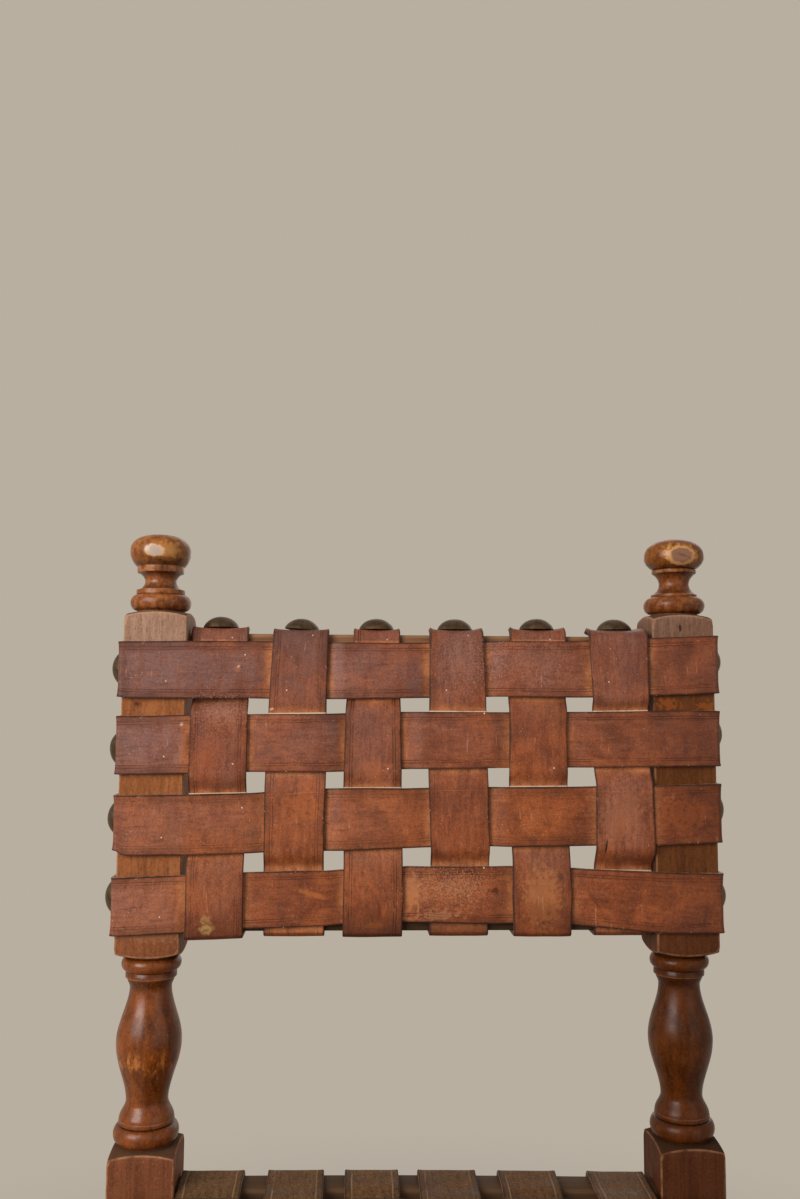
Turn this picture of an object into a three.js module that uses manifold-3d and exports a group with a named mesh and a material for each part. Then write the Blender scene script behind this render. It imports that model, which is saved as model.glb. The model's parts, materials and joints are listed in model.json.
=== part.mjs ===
// Side chair with turned posts, and a back and seat of woven leather straps.
// Millimetres, +Z up. The chair faces -Y, +X is on the right of someone who looks at its front.
import * as THREE from 'three';
import { mergeVertices } from 'three/addons/utils/BufferGeometryUtils.js';
import Module from 'manifold-3d';

const wasm = await Module();
wasm.setup();

// Frame: axes of the four posts, the height of the seat rails and the lean of the back
const postSpacing = 407;
const legDepthSpacing = 400;
const seatRailTop = 443;
const backRakeDegrees = 4.3;

// Square blocks and their eased arrises
const legStock = 48;
const backStock = 47;
const arrisChamfer = 1.2;
const shoulderDrop = 4;

// Legs: lengths up from the floor, and reaches above and below the tops of the seat rails
const footHeight = 84;
const stretcherBlockLength = 114;
const seatBlockDrop = 75;
const bendDrop = 20;
const frontLegRise = 19;
const frontDomeRise = 7;

// Lengths along the raked upper post, each from arris to arris of the blocks
const seatBlockRise = 50;
const balusterLength = 145.6;
const backBlockLength = 251.8;
const finialHeight = 61.4;

// Rails of the seat and of the back
const seatRailHeight = 42;
const railThickness = 24;
const railChamfer = 3;
const backRailHeight = 40;
const topRailDrop = 12.3;
const bottomRailRise = 13.9;

// Stretchers, with their heights above the shoulder of the foot
const sideStretcherRise = 38;
const crossStretcherRise = 76;
const stretcherTenonRadius = 9;
const stretcherTenonLength = 20;
const stretcherEndRadius = 11;
const stretcherNeckRadius = 8.5;
const stretcherBellyRadius = 14.5;

// Tenons and fits
const tenonThickness = 9;
const tenonShoulder = 6;
const seatTenonLength = 18;
const backTenonLength = 20;
const fitGap = 0.3;
const mortiseDepthGap = 1;
const weldDistance = 0.003;

// Leather straps
const strapThickness = 3.2;
const backStrapWidth = 43.5;
const seatStrapWidth = 42;
const strapGap = 0.3;
const backStrapEdgeGap = 5.6;
const backStrapSideGap = 3.25;
const seatStrapSideGap = 3;
const bendRadius = 2.4;
const strapEndReach = 16.5;
const strapUpturn = 36;
const panelFront = 18;
const outerStrapSlack = 1.2;
const seatSag = 8;
const seatStrapDrop = 36;

// Domed nails
const nailHeadRadius = 13.5;
const nailHeadHeight = 8;
const nailShankRadius = 1.6;
const nailShankLength = 13;
const nailHoleGap = 0.4;

const turningSides = 14;
const stretcherSides = 10;
const nailSides = 9;
const holeSides = 6;
const cutOverrun = 2;

const rake = THREE.MathUtils.degToRad(backRakeDegrees);
const postX = postSpacing / 2;
const legY = legDepthSpacing / 2;
const bendHeight = seatRailTop - bendDrop;
const seatBlockBottom = seatRailTop - seatBlockDrop;
const frontLegTop = seatRailTop + frontLegRise;
const stretcherBlockTop = footHeight + stretcherBlockLength;
const sideStretcherHeight = footHeight + sideStretcherRise;
const crossStretcherHeight = footHeight + crossStretcherRise;

const blockWood = { color: 0x8a5238, roughness: 0.55, metalness: 0 };
const railWood = { color: 0x7c4c33, roughness: 0.6, metalness: 0 };
const backLeather = { color: 0x8b4630, roughness: 0.5, metalness: 0 };
const seatLeather = { color: 0x694838, roughness: 0.6, metalness: 0 };
const nailMetal = { color: 0x55503e, roughness: 0.45, metalness: 0.9 };

const chair = new THREE.Group();

// Adds one named piece to a group.
function addPiece(parent, name, geometry, finish) {
  const mesh = new THREE.Mesh(geometry, new THREE.MeshStandardMaterial(finish));
  mesh.name = name;
  parent.add(mesh);
  return mesh;
}

// A closed geometry as a solid that can be joined and cut.
function solidOf(geometry) {
  const bare = geometry.clone();
  bare.deleteAttribute('normal');
  bare.deleteAttribute('uv');
  const merged = mergeVertices(bare, weldDistance);
  return new wasm.Manifold(new wasm.Mesh({
    numProp: 3,
    vertProperties: new Float32Array(merged.attributes.position.array),
    triVerts: new Uint32Array(merged.index.array),
  }));
}

// A cut solid back as a geometry.
function geometryOf(solid) {
  const mesh = solid.getMesh();
  const geometry = new THREE.BufferGeometry();
  geometry.setAttribute('position', new THREE.BufferAttribute(mesh.vertProperties, 3));
  geometry.setIndex(new THREE.BufferAttribute(mesh.triVerts, 1));
  geometry.computeVertexNormals();
  return geometry;
}

// A turned solid about Z from [radius, height] points, closed on the axis at both ends.
function turned(profile) {
  const first = profile[0];
  const last = profile[profile.length - 1];
  const points = [[0, first[1]], ...profile, [0, last[1]]].map((p) => new THREE.Vector2(p[0], p[1]));
  return new THREE.LatheGeometry(points, turningSides).rotateX(Math.PI / 2);
}

// A box from its centre and size.
function boxAt(size, centre) {
  return new THREE.BoxGeometry(size[0], size[1], size[2]).translate(centre[0], centre[1], centre[2]);
}

// A faceted bore from one point towards a direction, whose flats clear a round of the given radius.
function boreAt(radius, length, start, direction, sides) {
  const outer = radius / Math.cos(Math.PI / sides);
  const rod = new THREE.CylinderGeometry(outer, outer, length, sides).translate(0, length / 2, 0);
  const turn = new THREE.Quaternion().setFromUnitVectors(new THREE.Vector3(0, 1, 0), direction);
  return rod.applyQuaternion(turn).translate(start[0], start[1], start[2]);
}

// A rectangle outline with small corner cuts.
function cutRectangle(width, height, corner) {
  const x = width / 2;
  const y = height / 2;
  return new THREE.Shape([
    [-x + corner, -y], [x - corner, -y], [x, -y + corner], [x, y - corner],
    [x - corner, y], [-x + corner, y], [-x, y - corner], [-x, -y + corner],
  ].map((p) => new THREE.Vector2(p[0], p[1])));
}

// Points of a bead: half an ellipse that bulges out from a base radius.
function bead(baseRadius, bulgeRadius, bottom, top, steps) {
  const points = [];
  for (let i = 0; i <= steps; i += 1) {
    const angle = (i / steps - 0.5) * Math.PI;
    const out = (bulgeRadius - baseRadius) * Math.cos(angle);
    points.push([baseRadius + out, (bottom + top) / 2 + (top - bottom) / 2 * Math.sin(angle)]);
  }
  return points;
}

// Points of a smooth swell from one radius to another, without its first point.
function swell(fromRadius, toRadius, bottom, top, steps) {
  const points = [];
  for (let i = 1; i <= steps; i += 1) {
    const share = i / steps;
    const ease = 0.5 - 0.5 * Math.cos(Math.PI * share);
    points.push([fromRadius + (toRadius - fromRadius) * ease, bottom + (top - bottom) * share]);
  }
  return points;
}

// Turnings of a vase between two blocks, heavier at its lower end. Radii are shares of half the
// stock, and heights are shares of the vase's length.
const lowerTorusShares = { base: 0.8, bulge: 0.995, from: 0, to: 0.105 };
const lowerFilletShares = { radius: 0.86, from: 0.112, to: 0.132 };
const bellyShares = { neck: 0.65, bulge: 0.995, lowNeck: 0.225, belly: 0.52, highNeck: 0.825 };
const upperFilletShares = { radius: 0.8, from: 0.88, to: 0.905 };
const upperTorusShares = { base: 0.76, bulge: 0.935, from: 0.915, to: 0.99 };
const shoulderNeckShare = 0.8;

function balusterProfile(bottom, top, halfStock) {
  const at = (share) => bottom + (top - bottom) * share;
  const radius = (share) => halfStock * share;
  const torus = (shares, steps) => bead(
    radius(shares.base), radius(shares.bulge), at(shares.from), at(shares.to), steps);
  const neck = radius(bellyShares.neck);
  const belly = radius(bellyShares.bulge);
  const lowerFillet = radius(lowerFilletShares.radius);
  const upperFillet = radius(upperFilletShares.radius);
  return [
    ...torus(lowerTorusShares, 4),
    [lowerFillet, at(lowerFilletShares.from)],
    [lowerFillet, at(lowerFilletShares.to)],
    ...swell(lowerFillet, neck, at(lowerFilletShares.to), at(bellyShares.lowNeck), 2),
    ...swell(neck, belly, at(bellyShares.lowNeck), at(bellyShares.belly), 4),
    ...swell(belly, neck, at(bellyShares.belly), at(bellyShares.highNeck), 4),
    [upperFillet, at(upperFilletShares.from)],
    [upperFillet, at(upperFilletShares.to)],
    ...torus(upperTorusShares, 3),
  ];
}

// Domed end of a square block. The arris lies at the named height; side is +1 at the top of a
// block and -1 at its bottom. Points run outwards at a bottom and inwards at a top.
function shoulderProfile(arris, side, halfStock) {
  const arrisRadius = halfStock * Math.SQRT2;
  const neckRadius = halfStock * shoulderNeckShare;
  const points = [];
  for (const radius of [neckRadius, (neckRadius + arrisRadius) / 2, arrisRadius, arrisRadius + cutOverrun]) {
    const share = (radius - neckRadius) / (arrisRadius - neckRadius);
    points.push([radius, arris + side * shoulderDrop * (1 - share ** 1.5)]);
  }
  return side > 0 ? points.reverse() : points;
}

// Outline of the finial above the top block, as [share of half stock, share of height].
const finialShares = [
  [0.82, 0], [0.96, 0.055], [1.02, 0.115], [0.97, 0.175], [0.8, 0.215], [0.79, 0.275],
  [0.57, 0.33], [0.52, 0.41], [0.58, 0.49], [0.77, 0.52], [0.76, 0.59],
  [0.95, 0.66], [1.03, 0.76], [0.98, 0.86], [0.8, 0.945], [0.33, 1],
];

// Outline of the foot, and of the dome on a front leg, in the same shares.
const footShares = [
  [0.5, 0], [0.62, 0.05], [0.72, 0.14], [0.86, 0.27], [0.9, 0.38], [0.74, 0.55], [0.56, 0.68],
  [0.72, 0.73], [0.72, 0.78], [0.74, 0.81], [0.93, 0.86], [0.93, 0.93], [0.74, 0.98],
];
const frontDomeShares = [[1.45, 0], [0.9, 0.55], [0.55, 0.85], [0.2, 1]];

function scaledProfile(shares, halfStock, bottom, height) {
  return shares.map(([radius, share]) => [halfStock * radius, bottom + height * share]);
}

// Lengths up the raked part of a back post, measured from the bend.
const backBlockBottom = seatBlockRise + balusterLength;
const backBlockTop = backBlockBottom + backBlockLength;
const topRailTop = backBlockTop - topRailDrop;
const bottomRailBottom = backBlockBottom + bottomRailRise;
const finialBottom = backBlockTop + shoulderDrop;
const finialTop = finialBottom + finialHeight;

// Turned outline of the part of a leg that stands below the seat.
function lowerLegProfile() {
  const half = legStock / 2;
  return [
    ...scaledProfile(footShares, half, 0, footHeight),
    ...shoulderProfile(footHeight + shoulderDrop, -1, half),
    ...shoulderProfile(stretcherBlockTop, 1, half),
    ...balusterProfile(stretcherBlockTop + shoulderDrop, seatBlockBottom - shoulderDrop, half),
    ...shoulderProfile(seatBlockBottom, -1, half),
  ];
}

// A mortise for a rail tenon, cut from the middle of the post towards one side.
function railMortise(length, height, centreHeight, toward) {
  const depth = length + mortiseDepthGap;
  const reach = legStock / 2 + cutOverrun;
  const middle = legStock / 2 - depth + (reach - (legStock / 2 - depth)) / 2;
  const long = reach - (legStock / 2 - depth);
  const wide = tenonThickness + 2 * fitGap;
  const size = toward.x !== 0 ? [long, wide, height + 2 * fitGap] : [wide, long, height + 2 * fitGap];
  return boxAt(size, [toward.x * middle, toward.y * middle, centreHeight]);
}

// A round mortise for a stretcher, at a height above the floor.
function stretcherMortise(height, toward) {
  const inner = legStock / 2 - stretcherTenonLength - mortiseDepthGap;
  const start = [toward.x * inner, toward.y * inner, height];
  const length = legStock / 2 + cutOverrun - inner;
  return boreAt(stretcherTenonRadius + fitGap, length, start, toward, stretcherSides);
}

const seatTenonHeight = seatRailHeight - 2 * tenonShoulder;
const backTenonHeight = backRailHeight - 2 * tenonShoulder;
const seatRailMiddle = seatRailTop - seatRailHeight / 2;
const topRailMiddle = topRailTop - backRailHeight / 2;
const bottomRailMiddle = bottomRailBottom + backRailHeight / 2;

// Places of the straps in the back: six upright columns and four level rows.
const columnCount = 6;
const rowCount = 4;
const backClearHalf = postX - backStock / 2;
const outerColumn = backClearHalf - backStrapWidth / 2 - backStrapSideGap;
const columnPitch = 2 * outerColumn / (columnCount - 1);
const topRow = topRailTop - backStrapWidth / 2 - backStrapEdgeGap;
const bottomRow = bottomRailBottom + backStrapWidth / 2 + backStrapEdgeGap;
const rowPitch = (topRow - bottomRow) / (rowCount - 1);

// Hand-set wander of each strap, in shares of its width: columns at top and bottom,
// rows at the left post, the middle and the right post.
const columnWanderShares = [
  [0.01, 0], [-0.015, -0.055], [-0.06, -0.11], [-0.1, -0.04], [-0.05, -0.01], [-0.04, 0.01],
];
const rowWanderShares = [[0, 0, 0.07], [0.015, 0.06, 0.14], [-0.05, 0.02, 0.13], [-0.06, 0.02, -0.05]];

function columnX(column, height) {
  const share = (height - bottomRow) / (topRow - bottomRow);
  const [top, bottom] = columnWanderShares[column];
  const wander = bottom + (top - bottom) * share;
  return -outerColumn + column * columnPitch + wander * backStrapWidth;
}

function rowHeight(row, x) {
  const [left, middle, right] = rowWanderShares[row];
  const share = Math.min(Math.abs(x) / postX, 1);
  const end = x < 0 ? left : right;
  const wander = middle + (end - middle) * share ** 3;
  return topRow - row * rowPitch + wander * backStrapWidth;
}

// Depths of the straps' middle surfaces, from the plane of the post axes towards the front.
const layerStep = strapThickness + strapGap;
const railLayer = railThickness / 2 + strapGap + strapThickness / 2;
const postLayer = backStock / 2 + strapGap + strapThickness / 2;

// A row passes in front of a column where this is true, and behind it elsewhere.
const rowInFront = (row, column) => (row + column) % 2 === 0;
const onRail = (row) => row === 0 || row === rowCount - 1;

// Depth of a row where it crosses a column, at its outer and its inner side. The outermost columns
// lie beside the posts, where the row slants back from the post's face.
function rowDepths(row, column) {
  const inFront = rowInFront(row, column);
  const behind = onRail(row) ? railLayer : panelFront - layerStep / 2;
  const depth = inFront ? behind + layerStep : behind;
  if (column > 0 && column < columnCount - 1) return [depth, depth];
  if (inFront) return [postLayer - outerStrapSlack / 3, depth];
  return [postLayer - outerStrapSlack, depth + (onRail(row) ? layerStep : layerStep * 3 / 4)];
}

// Depth of a column at the same crossing, at its outer and its inner edge.
function columnDepths(row, column) {
  const [outer, inner] = rowDepths(row, column);
  if (!rowInFront(row, column)) return [outer + layerStep, inner + layerStep];
  if (onRail(row)) return [railLayer, railLayer];
  return [outer - layerStep, inner - layerStep];
}

// A strap lofted between the paths of its two edges, with a given thickness.
function strapGeometry(edgeA, edgeB, thickness) {
  const count = edgeA.length;
  const position = [];
  for (let i = 0; i < count; i += 1) {
    const across = new THREE.Vector3().subVectors(edgeB[i], edgeA[i]).normalize();
    for (const edge of [edgeA, edgeB]) {
      const before = edge[Math.max(i - 1, 0)];
      const after = edge[Math.min(i + 1, count - 1)];
      const into = new THREE.Vector3().subVectors(edge[i], before);
      const out = new THREE.Vector3().subVectors(after, edge[i]);
      if (i === 0) into.copy(out);
      if (i === count - 1) out.copy(into);
      const along = into.normalize().clone().add(out.normalize()).normalize();
      const stretch = Math.sqrt(2 / (1 + into.dot(out)));
      const normal = new THREE.Vector3().crossVectors(along, across).normalize();
      const offset = normal.multiplyScalar(thickness / 2 * stretch);
      position.push(...new THREE.Vector3().addVectors(edge[i], offset).toArray());
      position.push(...new THREE.Vector3().subVectors(edge[i], offset).toArray());
    }
  }
  const index = [];
  const quad = (a, b, c, d) => index.push(a, b, c, a, c, d);
  for (let i = 0; i + 1 < count; i += 1) {
    const [a, b, c, d] = [4 * i, 4 * i + 1, 4 * i + 3, 4 * i + 2];
    const [e, f, g, h] = [a + 4, b + 4, c + 4, d + 4];
    quad(a, b, f, e);
    quad(b, c, g, f);
    quad(c, d, h, g);
    quad(d, a, e, h);
  }
  const last = 4 * (count - 1);
  quad(0, 2, 3, 1);
  quad(last, last + 1, last + 3, last + 2);
  const geometry = new THREE.BufferGeometry();
  geometry.setAttribute('position', new THREE.BufferAttribute(new Float32Array(position), 3));
  geometry.setIndex(index);
  return geometry;
}

// Adds eased points between two [along, outer depth, inner depth] stations.
function ease(stations, next, steps) {
  const from = stations[stations.length - 1];
  for (let i = 1; i <= steps; i += 1) {
    const share = i / steps;
    const blend = 0.5 - 0.5 * Math.cos(Math.PI * share);
    stations.push(from.map((value, axis) => value + (next[axis] - value) * (axis === 0 ? share : blend)));
  }
}

// Cuts round holes for nail shanks through a strap.
function pierced(geometry, holes) {
  let solid = solidOf(geometry);
  for (const hole of holes) solid = solid.subtract(solidOf(hole));
  return geometryOf(solid);
}

const holeRadius = nailShankRadius + nailHoleGap;
const holeDepth = nailShankLength + mortiseDepthGap;

// A shank hole centred on a nail's seat, running into the piece below.
function shankHole(seat, inward) {
  const start = seat.clone().addScaledVector(inward, -cutOverrun);
  return boreAt(holeRadius, holeDepth + cutOverrun, start.toArray(), inward, holeSides);
}

// Group of everything that leans with the back, at the bend of the posts.
const back = new THREE.Group();
back.position.set(0, legY, bendHeight);
back.rotation.x = -rake;
chair.add(back);

const nailSeatDepth = 2 * strapGap + strapThickness;
const left = new THREE.Vector3(-1, 0, 0);
const right = new THREE.Vector3(1, 0, 0);
const front = new THREE.Vector3(0, -1, 0);
const rear = new THREE.Vector3(0, 1, 0);
const up = new THREE.Vector3(0, 0, 1);
const down = new THREE.Vector3(0, 0, -1);

// Upper, raked part of a back post as a turned solid within its square stock.
function rakedPart() {
  const legHalf = legStock / 2;
  const backHalf = backStock / 2;
  return solidOf(turned([
    [legHalf * Math.SQRT2 + cutOverrun, -legStock / 4],
    ...shoulderProfile(seatBlockRise, 1, legHalf),
    ...balusterProfile(seatBlockRise + shoulderDrop, backBlockBottom - shoulderDrop, legHalf),
    ...shoulderProfile(backBlockBottom, -1, backHalf),
    ...shoulderProfile(backBlockTop, 1, backHalf),
    ...scaledProfile(finialShares, backHalf, finialBottom, finialHeight),
  ]));
}

// Square stock of a back post: upright below the bend and raked above it, mitred at the bend.
function bentStock() {
  const half = legStock / 2;
  const corner = half * Math.tan(rake / 2);
  const lean = (across, along) => new THREE.Vector2(
    across * Math.cos(rake) + along * Math.sin(rake),
    -across * Math.sin(rake) + along * Math.cos(rake));
  const outline = new THREE.Shape([
    new THREE.Vector2(-half, -bendHeight - cutOverrun),
    new THREE.Vector2(half, -bendHeight - cutOverrun),
    new THREE.Vector2(half, -corner),
    lean(half, backBlockBottom - balusterLength / 8),
    lean(-half, backBlockBottom - balusterLength / 8),
    new THREE.Vector2(-half, corner),
  ]);
  const slab = new THREE.ExtrudeGeometry(outline, { depth: legStock, bevelEnabled: false });
  slab.translate(0, 0, -legStock / 2).rotateX(Math.PI / 2).rotateZ(Math.PI / 2);
  const blockStart = backBlockBottom - balusterLength / 6;
  const blockStock = new THREE.ExtrudeGeometry(cutRectangle(backStock, backStock, arrisChamfer),
    { depth: finialTop + cutOverrun - blockStart, bevelEnabled: false });
  blockStock.translate(0, 0, blockStart).rotateX(-rake);
  return solidOf(slab).add(solidOf(blockStock));
}

// A back post with its mortises and nail holes. Its origin is at the bend.
function backPost(side) {
  const inward = side < 0 ? right : left;
  const outward = side < 0 ? left : right;
  const lower = turned([...lowerLegProfile(), [legStock, bendHeight + legStock / 4]]);
  lower.translate(0, 0, -bendHeight);
  let post = solidOf(lower).add(rakedPart().rotate([-backRakeDegrees, 0, 0])).intersect(bentStock());
  const cuts = [
    railMortise(seatTenonLength, seatTenonHeight, seatRailMiddle - bendHeight, inward),
    railMortise(seatTenonLength, seatTenonHeight, seatRailMiddle - bendHeight, front),
    stretcherMortise(crossStretcherHeight - bendHeight, inward),
    stretcherMortise(sideStretcherHeight - bendHeight, front),
  ];
  const raked = [
    railMortise(backTenonLength, backTenonHeight, topRailMiddle, inward),
    railMortise(backTenonLength, backTenonHeight, bottomRailMiddle, inward),
  ];
  for (let row = 0; row < rowCount; row += 1) {
    const seat = new THREE.Vector3(side * (backStock / 2 + nailSeatDepth), 0, rowHeight(row, side * postX));
    raked.push(shankHole(seat, inward));
  }
  for (const cut of raked) cuts.push(cut.rotateX(-rake));
  for (const cut of cuts) post = post.subtract(solidOf(cut));
  return geometryOf(post);
}

for (const [name, side] of [['left', -1], ['right', 1]]) {
  const post = addPiece(chair, `back_post_${name}`, backPost(side), blockWood);
  post.position.set(side * postX, legY, bendHeight);
}

// A front leg, which ends in a low dome above the seat rails.
function frontLeg(side) {
  const inward = side < 0 ? right : left;
  const half = legStock / 2;
  const dome = scaledProfile(frontDomeShares, half, frontLegTop - frontDomeRise, frontDomeRise);
  const stock = new THREE.ExtrudeGeometry(cutRectangle(legStock, legStock, arrisChamfer),
    { depth: frontLegTop + 2 * cutOverrun, bevelEnabled: false });
  stock.translate(0, 0, -cutOverrun);
  let leg = solidOf(turned([...lowerLegProfile(), ...dome])).intersect(solidOf(stock));
  const cuts = [
    railMortise(seatTenonLength, seatTenonHeight, seatRailMiddle, inward),
    railMortise(seatTenonLength, seatTenonHeight, seatRailMiddle, rear),
    stretcherMortise(crossStretcherHeight, inward),
    stretcherMortise(sideStretcherHeight, rear),
  ];
  for (const cut of cuts) leg = leg.subtract(solidOf(cut));
  return geometryOf(leg);
}

for (const [name, side] of [['left', -1], ['right', 1]]) {
  const leg = addPiece(chair, `front_leg_${name}`, frontLeg(side), blockWood);
  leg.position.set(side * postX, -legY, 0);
}

// A rail along X with a tenon at each end, centred on its own middle.
function railGeometry(clearLength, height, tenonLength, tenonHeight, holes) {
  const bar = new THREE.ExtrudeGeometry(cutRectangle(railThickness, height, railChamfer),
    { depth: clearLength - 2 * fitGap, bevelEnabled: false });
  bar.translate(0, 0, -clearLength / 2 + fitGap).rotateX(Math.PI / 2).rotateZ(Math.PI / 2);
  const tenon = boxAt([clearLength + 2 * tenonLength, tenonThickness, tenonHeight], [0, 0, 0]);
  let rail = solidOf(bar).add(solidOf(tenon));
  for (const hole of holes) rail = rail.subtract(solidOf(hole));
  return geometryOf(rail);
}

// Nail seats of the upright straps, on top of the top rail and on the rear face of the bottom rail.
const topLayer = topRailTop + strapGap + strapThickness / 2;
const underLayer = bottomRailBottom - strapGap - strapThickness / 2;
const topNailHeight = topRailTop + nailSeatDepth;
const topSeat = (column) => new THREE.Vector3(columnX(column, topNailHeight), 0, topNailHeight);
const bottomSeat = (column) => new THREE.Vector3(
  columnX(column, underLayer), railThickness / 2 + nailSeatDepth, bottomRailMiddle);

function backRail(name, middle, seatOf, inward) {
  const holes = [];
  for (let column = 0; column < columnCount; column += 1) {
    const seat = seatOf(column);
    seat.z -= middle;
    holes.push(shankHole(seat, inward));
  }
  const rail = railGeometry(2 * backClearHalf, backRailHeight, backTenonLength, backTenonHeight, holes);
  addPiece(back, name, rail, railWood).position.z = middle;
}

backRail('back_top_rail', topRailMiddle, topSeat, down);
backRail('back_bottom_rail', bottomRailMiddle, bottomSeat, front);

// Upright strap of the back: over the top rail, through the rows, under the bottom rail and up its
// rear face.
function columnStrap(column) {
  const half = backStrapWidth / 2 + strapGap;
  const wrapInset = railThickness / 2 - railChamfer;
  const frontTop = topRailTop - railChamfer;
  const stations = [];
  const depths = (row) => columnDepths(row, column);
  const x = (height) => columnX(column, height);
  for (let row = 0; row < rowCount; row += 1) {
    const centre = rowHeight(row, columnX(column, topRow - row * rowPitch));
    const [outer, inner] = depths(row);
    const upper = row === 0 ? Math.min(centre + half + strapGap, frontTop) : centre + half + strapGap;
    const lower = centre - half - strapGap;
    if (row === 0) stations.push([upper, outer, inner]);
    else ease(stations, [upper, outer, inner], 4);
    stations.push([lower, outer, inner]);
  }
  const edges = [0, 1].map((edge) => {
    const offset = (edge === 0 ? -1 : 1) * backStrapWidth / 2;
    const isOuter = (edge === 0) === (column < columnCount / 2);
    const pick = (station) => -(isOuter ? station[1] : station[2]);
    const first = stations[0];
    const last = stations[stations.length - 1];
    const points = [new THREE.Vector3(x(topLayer) + offset, strapEndReach, topLayer)];
    const bendSteps = 4;
    for (let i = 0; i <= bendSteps; i += 1) {
      const angle = i / bendSteps * Math.PI / 2;
      const depth = -wrapInset + (pick(first) + wrapInset) * Math.sin(angle);
      const height = first[0] + (topLayer - first[0]) * Math.cos(angle);
      points.push(new THREE.Vector3(x(topLayer) + offset, depth, height));
    }
    for (const station of stations.slice(1)) {
      points.push(new THREE.Vector3(x(station[0]) + offset, pick(station), station[0]));
    }
    const bendTop = Math.min(last[0] - strapGap, underLayer + bendRadius);
    const drop = bendTop - underLayer;
    for (let i = 0; i <= bendSteps; i += 1) {
      const angle = i / bendSteps * Math.PI / 2;
      const depth = pick(last) + bendRadius * (1 - Math.cos(angle));
      points.push(new THREE.Vector3(x(underLayer) + offset, depth, bendTop - drop * Math.sin(angle)));
    }
    const wrap = railChamfer + strapGap + strapThickness / 2;
    for (let i = 0; i <= bendSteps; i += 1) {
      const angle = i / bendSteps * Math.PI / 2;
      const depth = wrapInset + wrap * Math.sin(angle);
      const height = underLayer + wrap * (1 - Math.cos(angle));
      points.push(new THREE.Vector3(x(underLayer) + offset, depth, height));
    }
    points.push(new THREE.Vector3(x(underLayer) + offset, railLayer, bottomRailBottom + strapUpturn));
    return points;
  });
  const holes = [shankHole(topSeat(column), down), shankHole(bottomSeat(column), front)];
  return pierced(strapGeometry(edges[0], edges[1], strapThickness), holes);
}

// Level strap of the back: from one post's outer face across both fronts to the other.
function rowStrap(row) {
  const sideLayer = postX + backStock / 2 + strapGap + strapThickness / 2;
  const half = backStrapWidth / 2 + 2 * strapGap;
  const wrap = strapGap + strapThickness / 2;
  const corner = postX + backStock / 2;
  const points = [[-sideLayer, -strapEndReach]];
  const bendSteps = 3;
  const bend = (side, angle) => [
    side * (corner + wrap * Math.sin(angle)), backStock / 2 + wrap * Math.cos(angle)];
  for (let i = bendSteps; i >= 0; i -= 1) points.push(bend(-1, i / bendSteps * Math.PI / 2));
  points.push([-backClearHalf, postLayer]);
  for (let column = 0; column < columnCount; column += 1) {
    const centre = columnX(column, rowHeight(row, 0));
    const [outer, inner] = rowDepths(row, column);
    const isLeft = column < columnCount / 2;
    const start = [centre - half, isLeft ? outer : inner];
    const end = [centre + half, isLeft ? inner : outer];
    if (column === 0) points.push(start);
    else ease(points, start, 4);
    points.push(end);
  }
  points.push([backClearHalf, postLayer]);
  for (let i = 0; i <= bendSteps; i += 1) points.push(bend(1, i / bendSteps * Math.PI / 2));
  points.push([sideLayer, -strapEndReach]);
  const edges = [1, -1].map((side) => points.map(([x, depth]) => new THREE.Vector3(
    x, -depth, rowHeight(row, x) + side * backStrapWidth / 2)));
  const holes = [[-1, right], [1, left]].map(([side, inward]) => shankHole(
    new THREE.Vector3(side * (corner + nailSeatDepth), 0, rowHeight(row, side * postX)), inward));
  return pierced(strapGeometry(edges[0], edges[1], strapThickness), holes);
}

for (let column = 0; column < columnCount; column += 1) {
  addPiece(back, `back_upright_strap_${column + 1}`, columnStrap(column), backLeather);
}
for (let row = 0; row < rowCount; row += 1) {
  addPiece(back, `back_cross_strap_${row + 1}`, rowStrap(row), backLeather);
}

// A domed nail whose head rests on Z = 0 and whose shank points down.
function nailGeometry() {
  const dome = [];
  const domeSteps = 3;
  for (let i = 0; i < domeSteps; i += 1) {
    const angle = i / domeSteps * Math.PI / 2;
    dome.push([nailHeadRadius * Math.cos(angle), nailHeadHeight * Math.sin(angle)]);
  }
  const profile = [[0, -nailShankLength], [nailShankRadius, -nailShankLength + nailShankRadius * 2],
    [nailShankRadius, 0], ...dome, [0, nailHeadHeight]];
  const points = profile.map((p) => new THREE.Vector2(p[0], p[1]));
  return new THREE.LatheGeometry(points, nailSides).rotateX(Math.PI / 2);
}

function addNail(name, seat, outward) {
  const nail = addPiece(back, name, nailGeometry(), nailMetal);
  nail.position.copy(seat);
  nail.quaternion.setFromUnitVectors(up, outward);
}

for (let column = 0; column < columnCount; column += 1) {
  addNail(`top_nail_${column + 1}`, topSeat(column), up);
  addNail(`bottom_nail_${column + 1}`, bottomSeat(column), rear);
}
for (let row = 0; row < rowCount; row += 1) {
  for (const [name, side, outward] of [['left', -1, left], ['right', 1, right]]) {
    const x = side * (postX + backStock / 2 + nailSeatDepth);
    addNail(`side_nail_${name}_${row + 1}`, new THREE.Vector3(x, 0, rowHeight(row, side * postX)), outward);
  }
}

// Seat rails between the leg blocks.
const seatClearX = postSpacing - legStock;
const seatClearY = legDepthSpacing - legStock;
for (const [name, y] of [['front', -legY], ['rear', legY]]) {
  const rail = railGeometry(seatClearX, seatRailHeight, seatTenonLength, seatTenonHeight, []);
  addPiece(chair, `seat_rail_${name}`, rail, railWood).position.set(0, y, seatRailMiddle);
}
for (const [name, side] of [['left', -1], ['right', 1]]) {
  const rail = railGeometry(seatClearY, seatRailHeight, seatTenonLength, seatTenonHeight, []);
  const mesh = addPiece(chair, `seat_rail_${name}`, rail, railWood);
  mesh.position.set(side * postX, 0, seatRailMiddle);
  mesh.rotation.z = Math.PI / 2;
}

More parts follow.
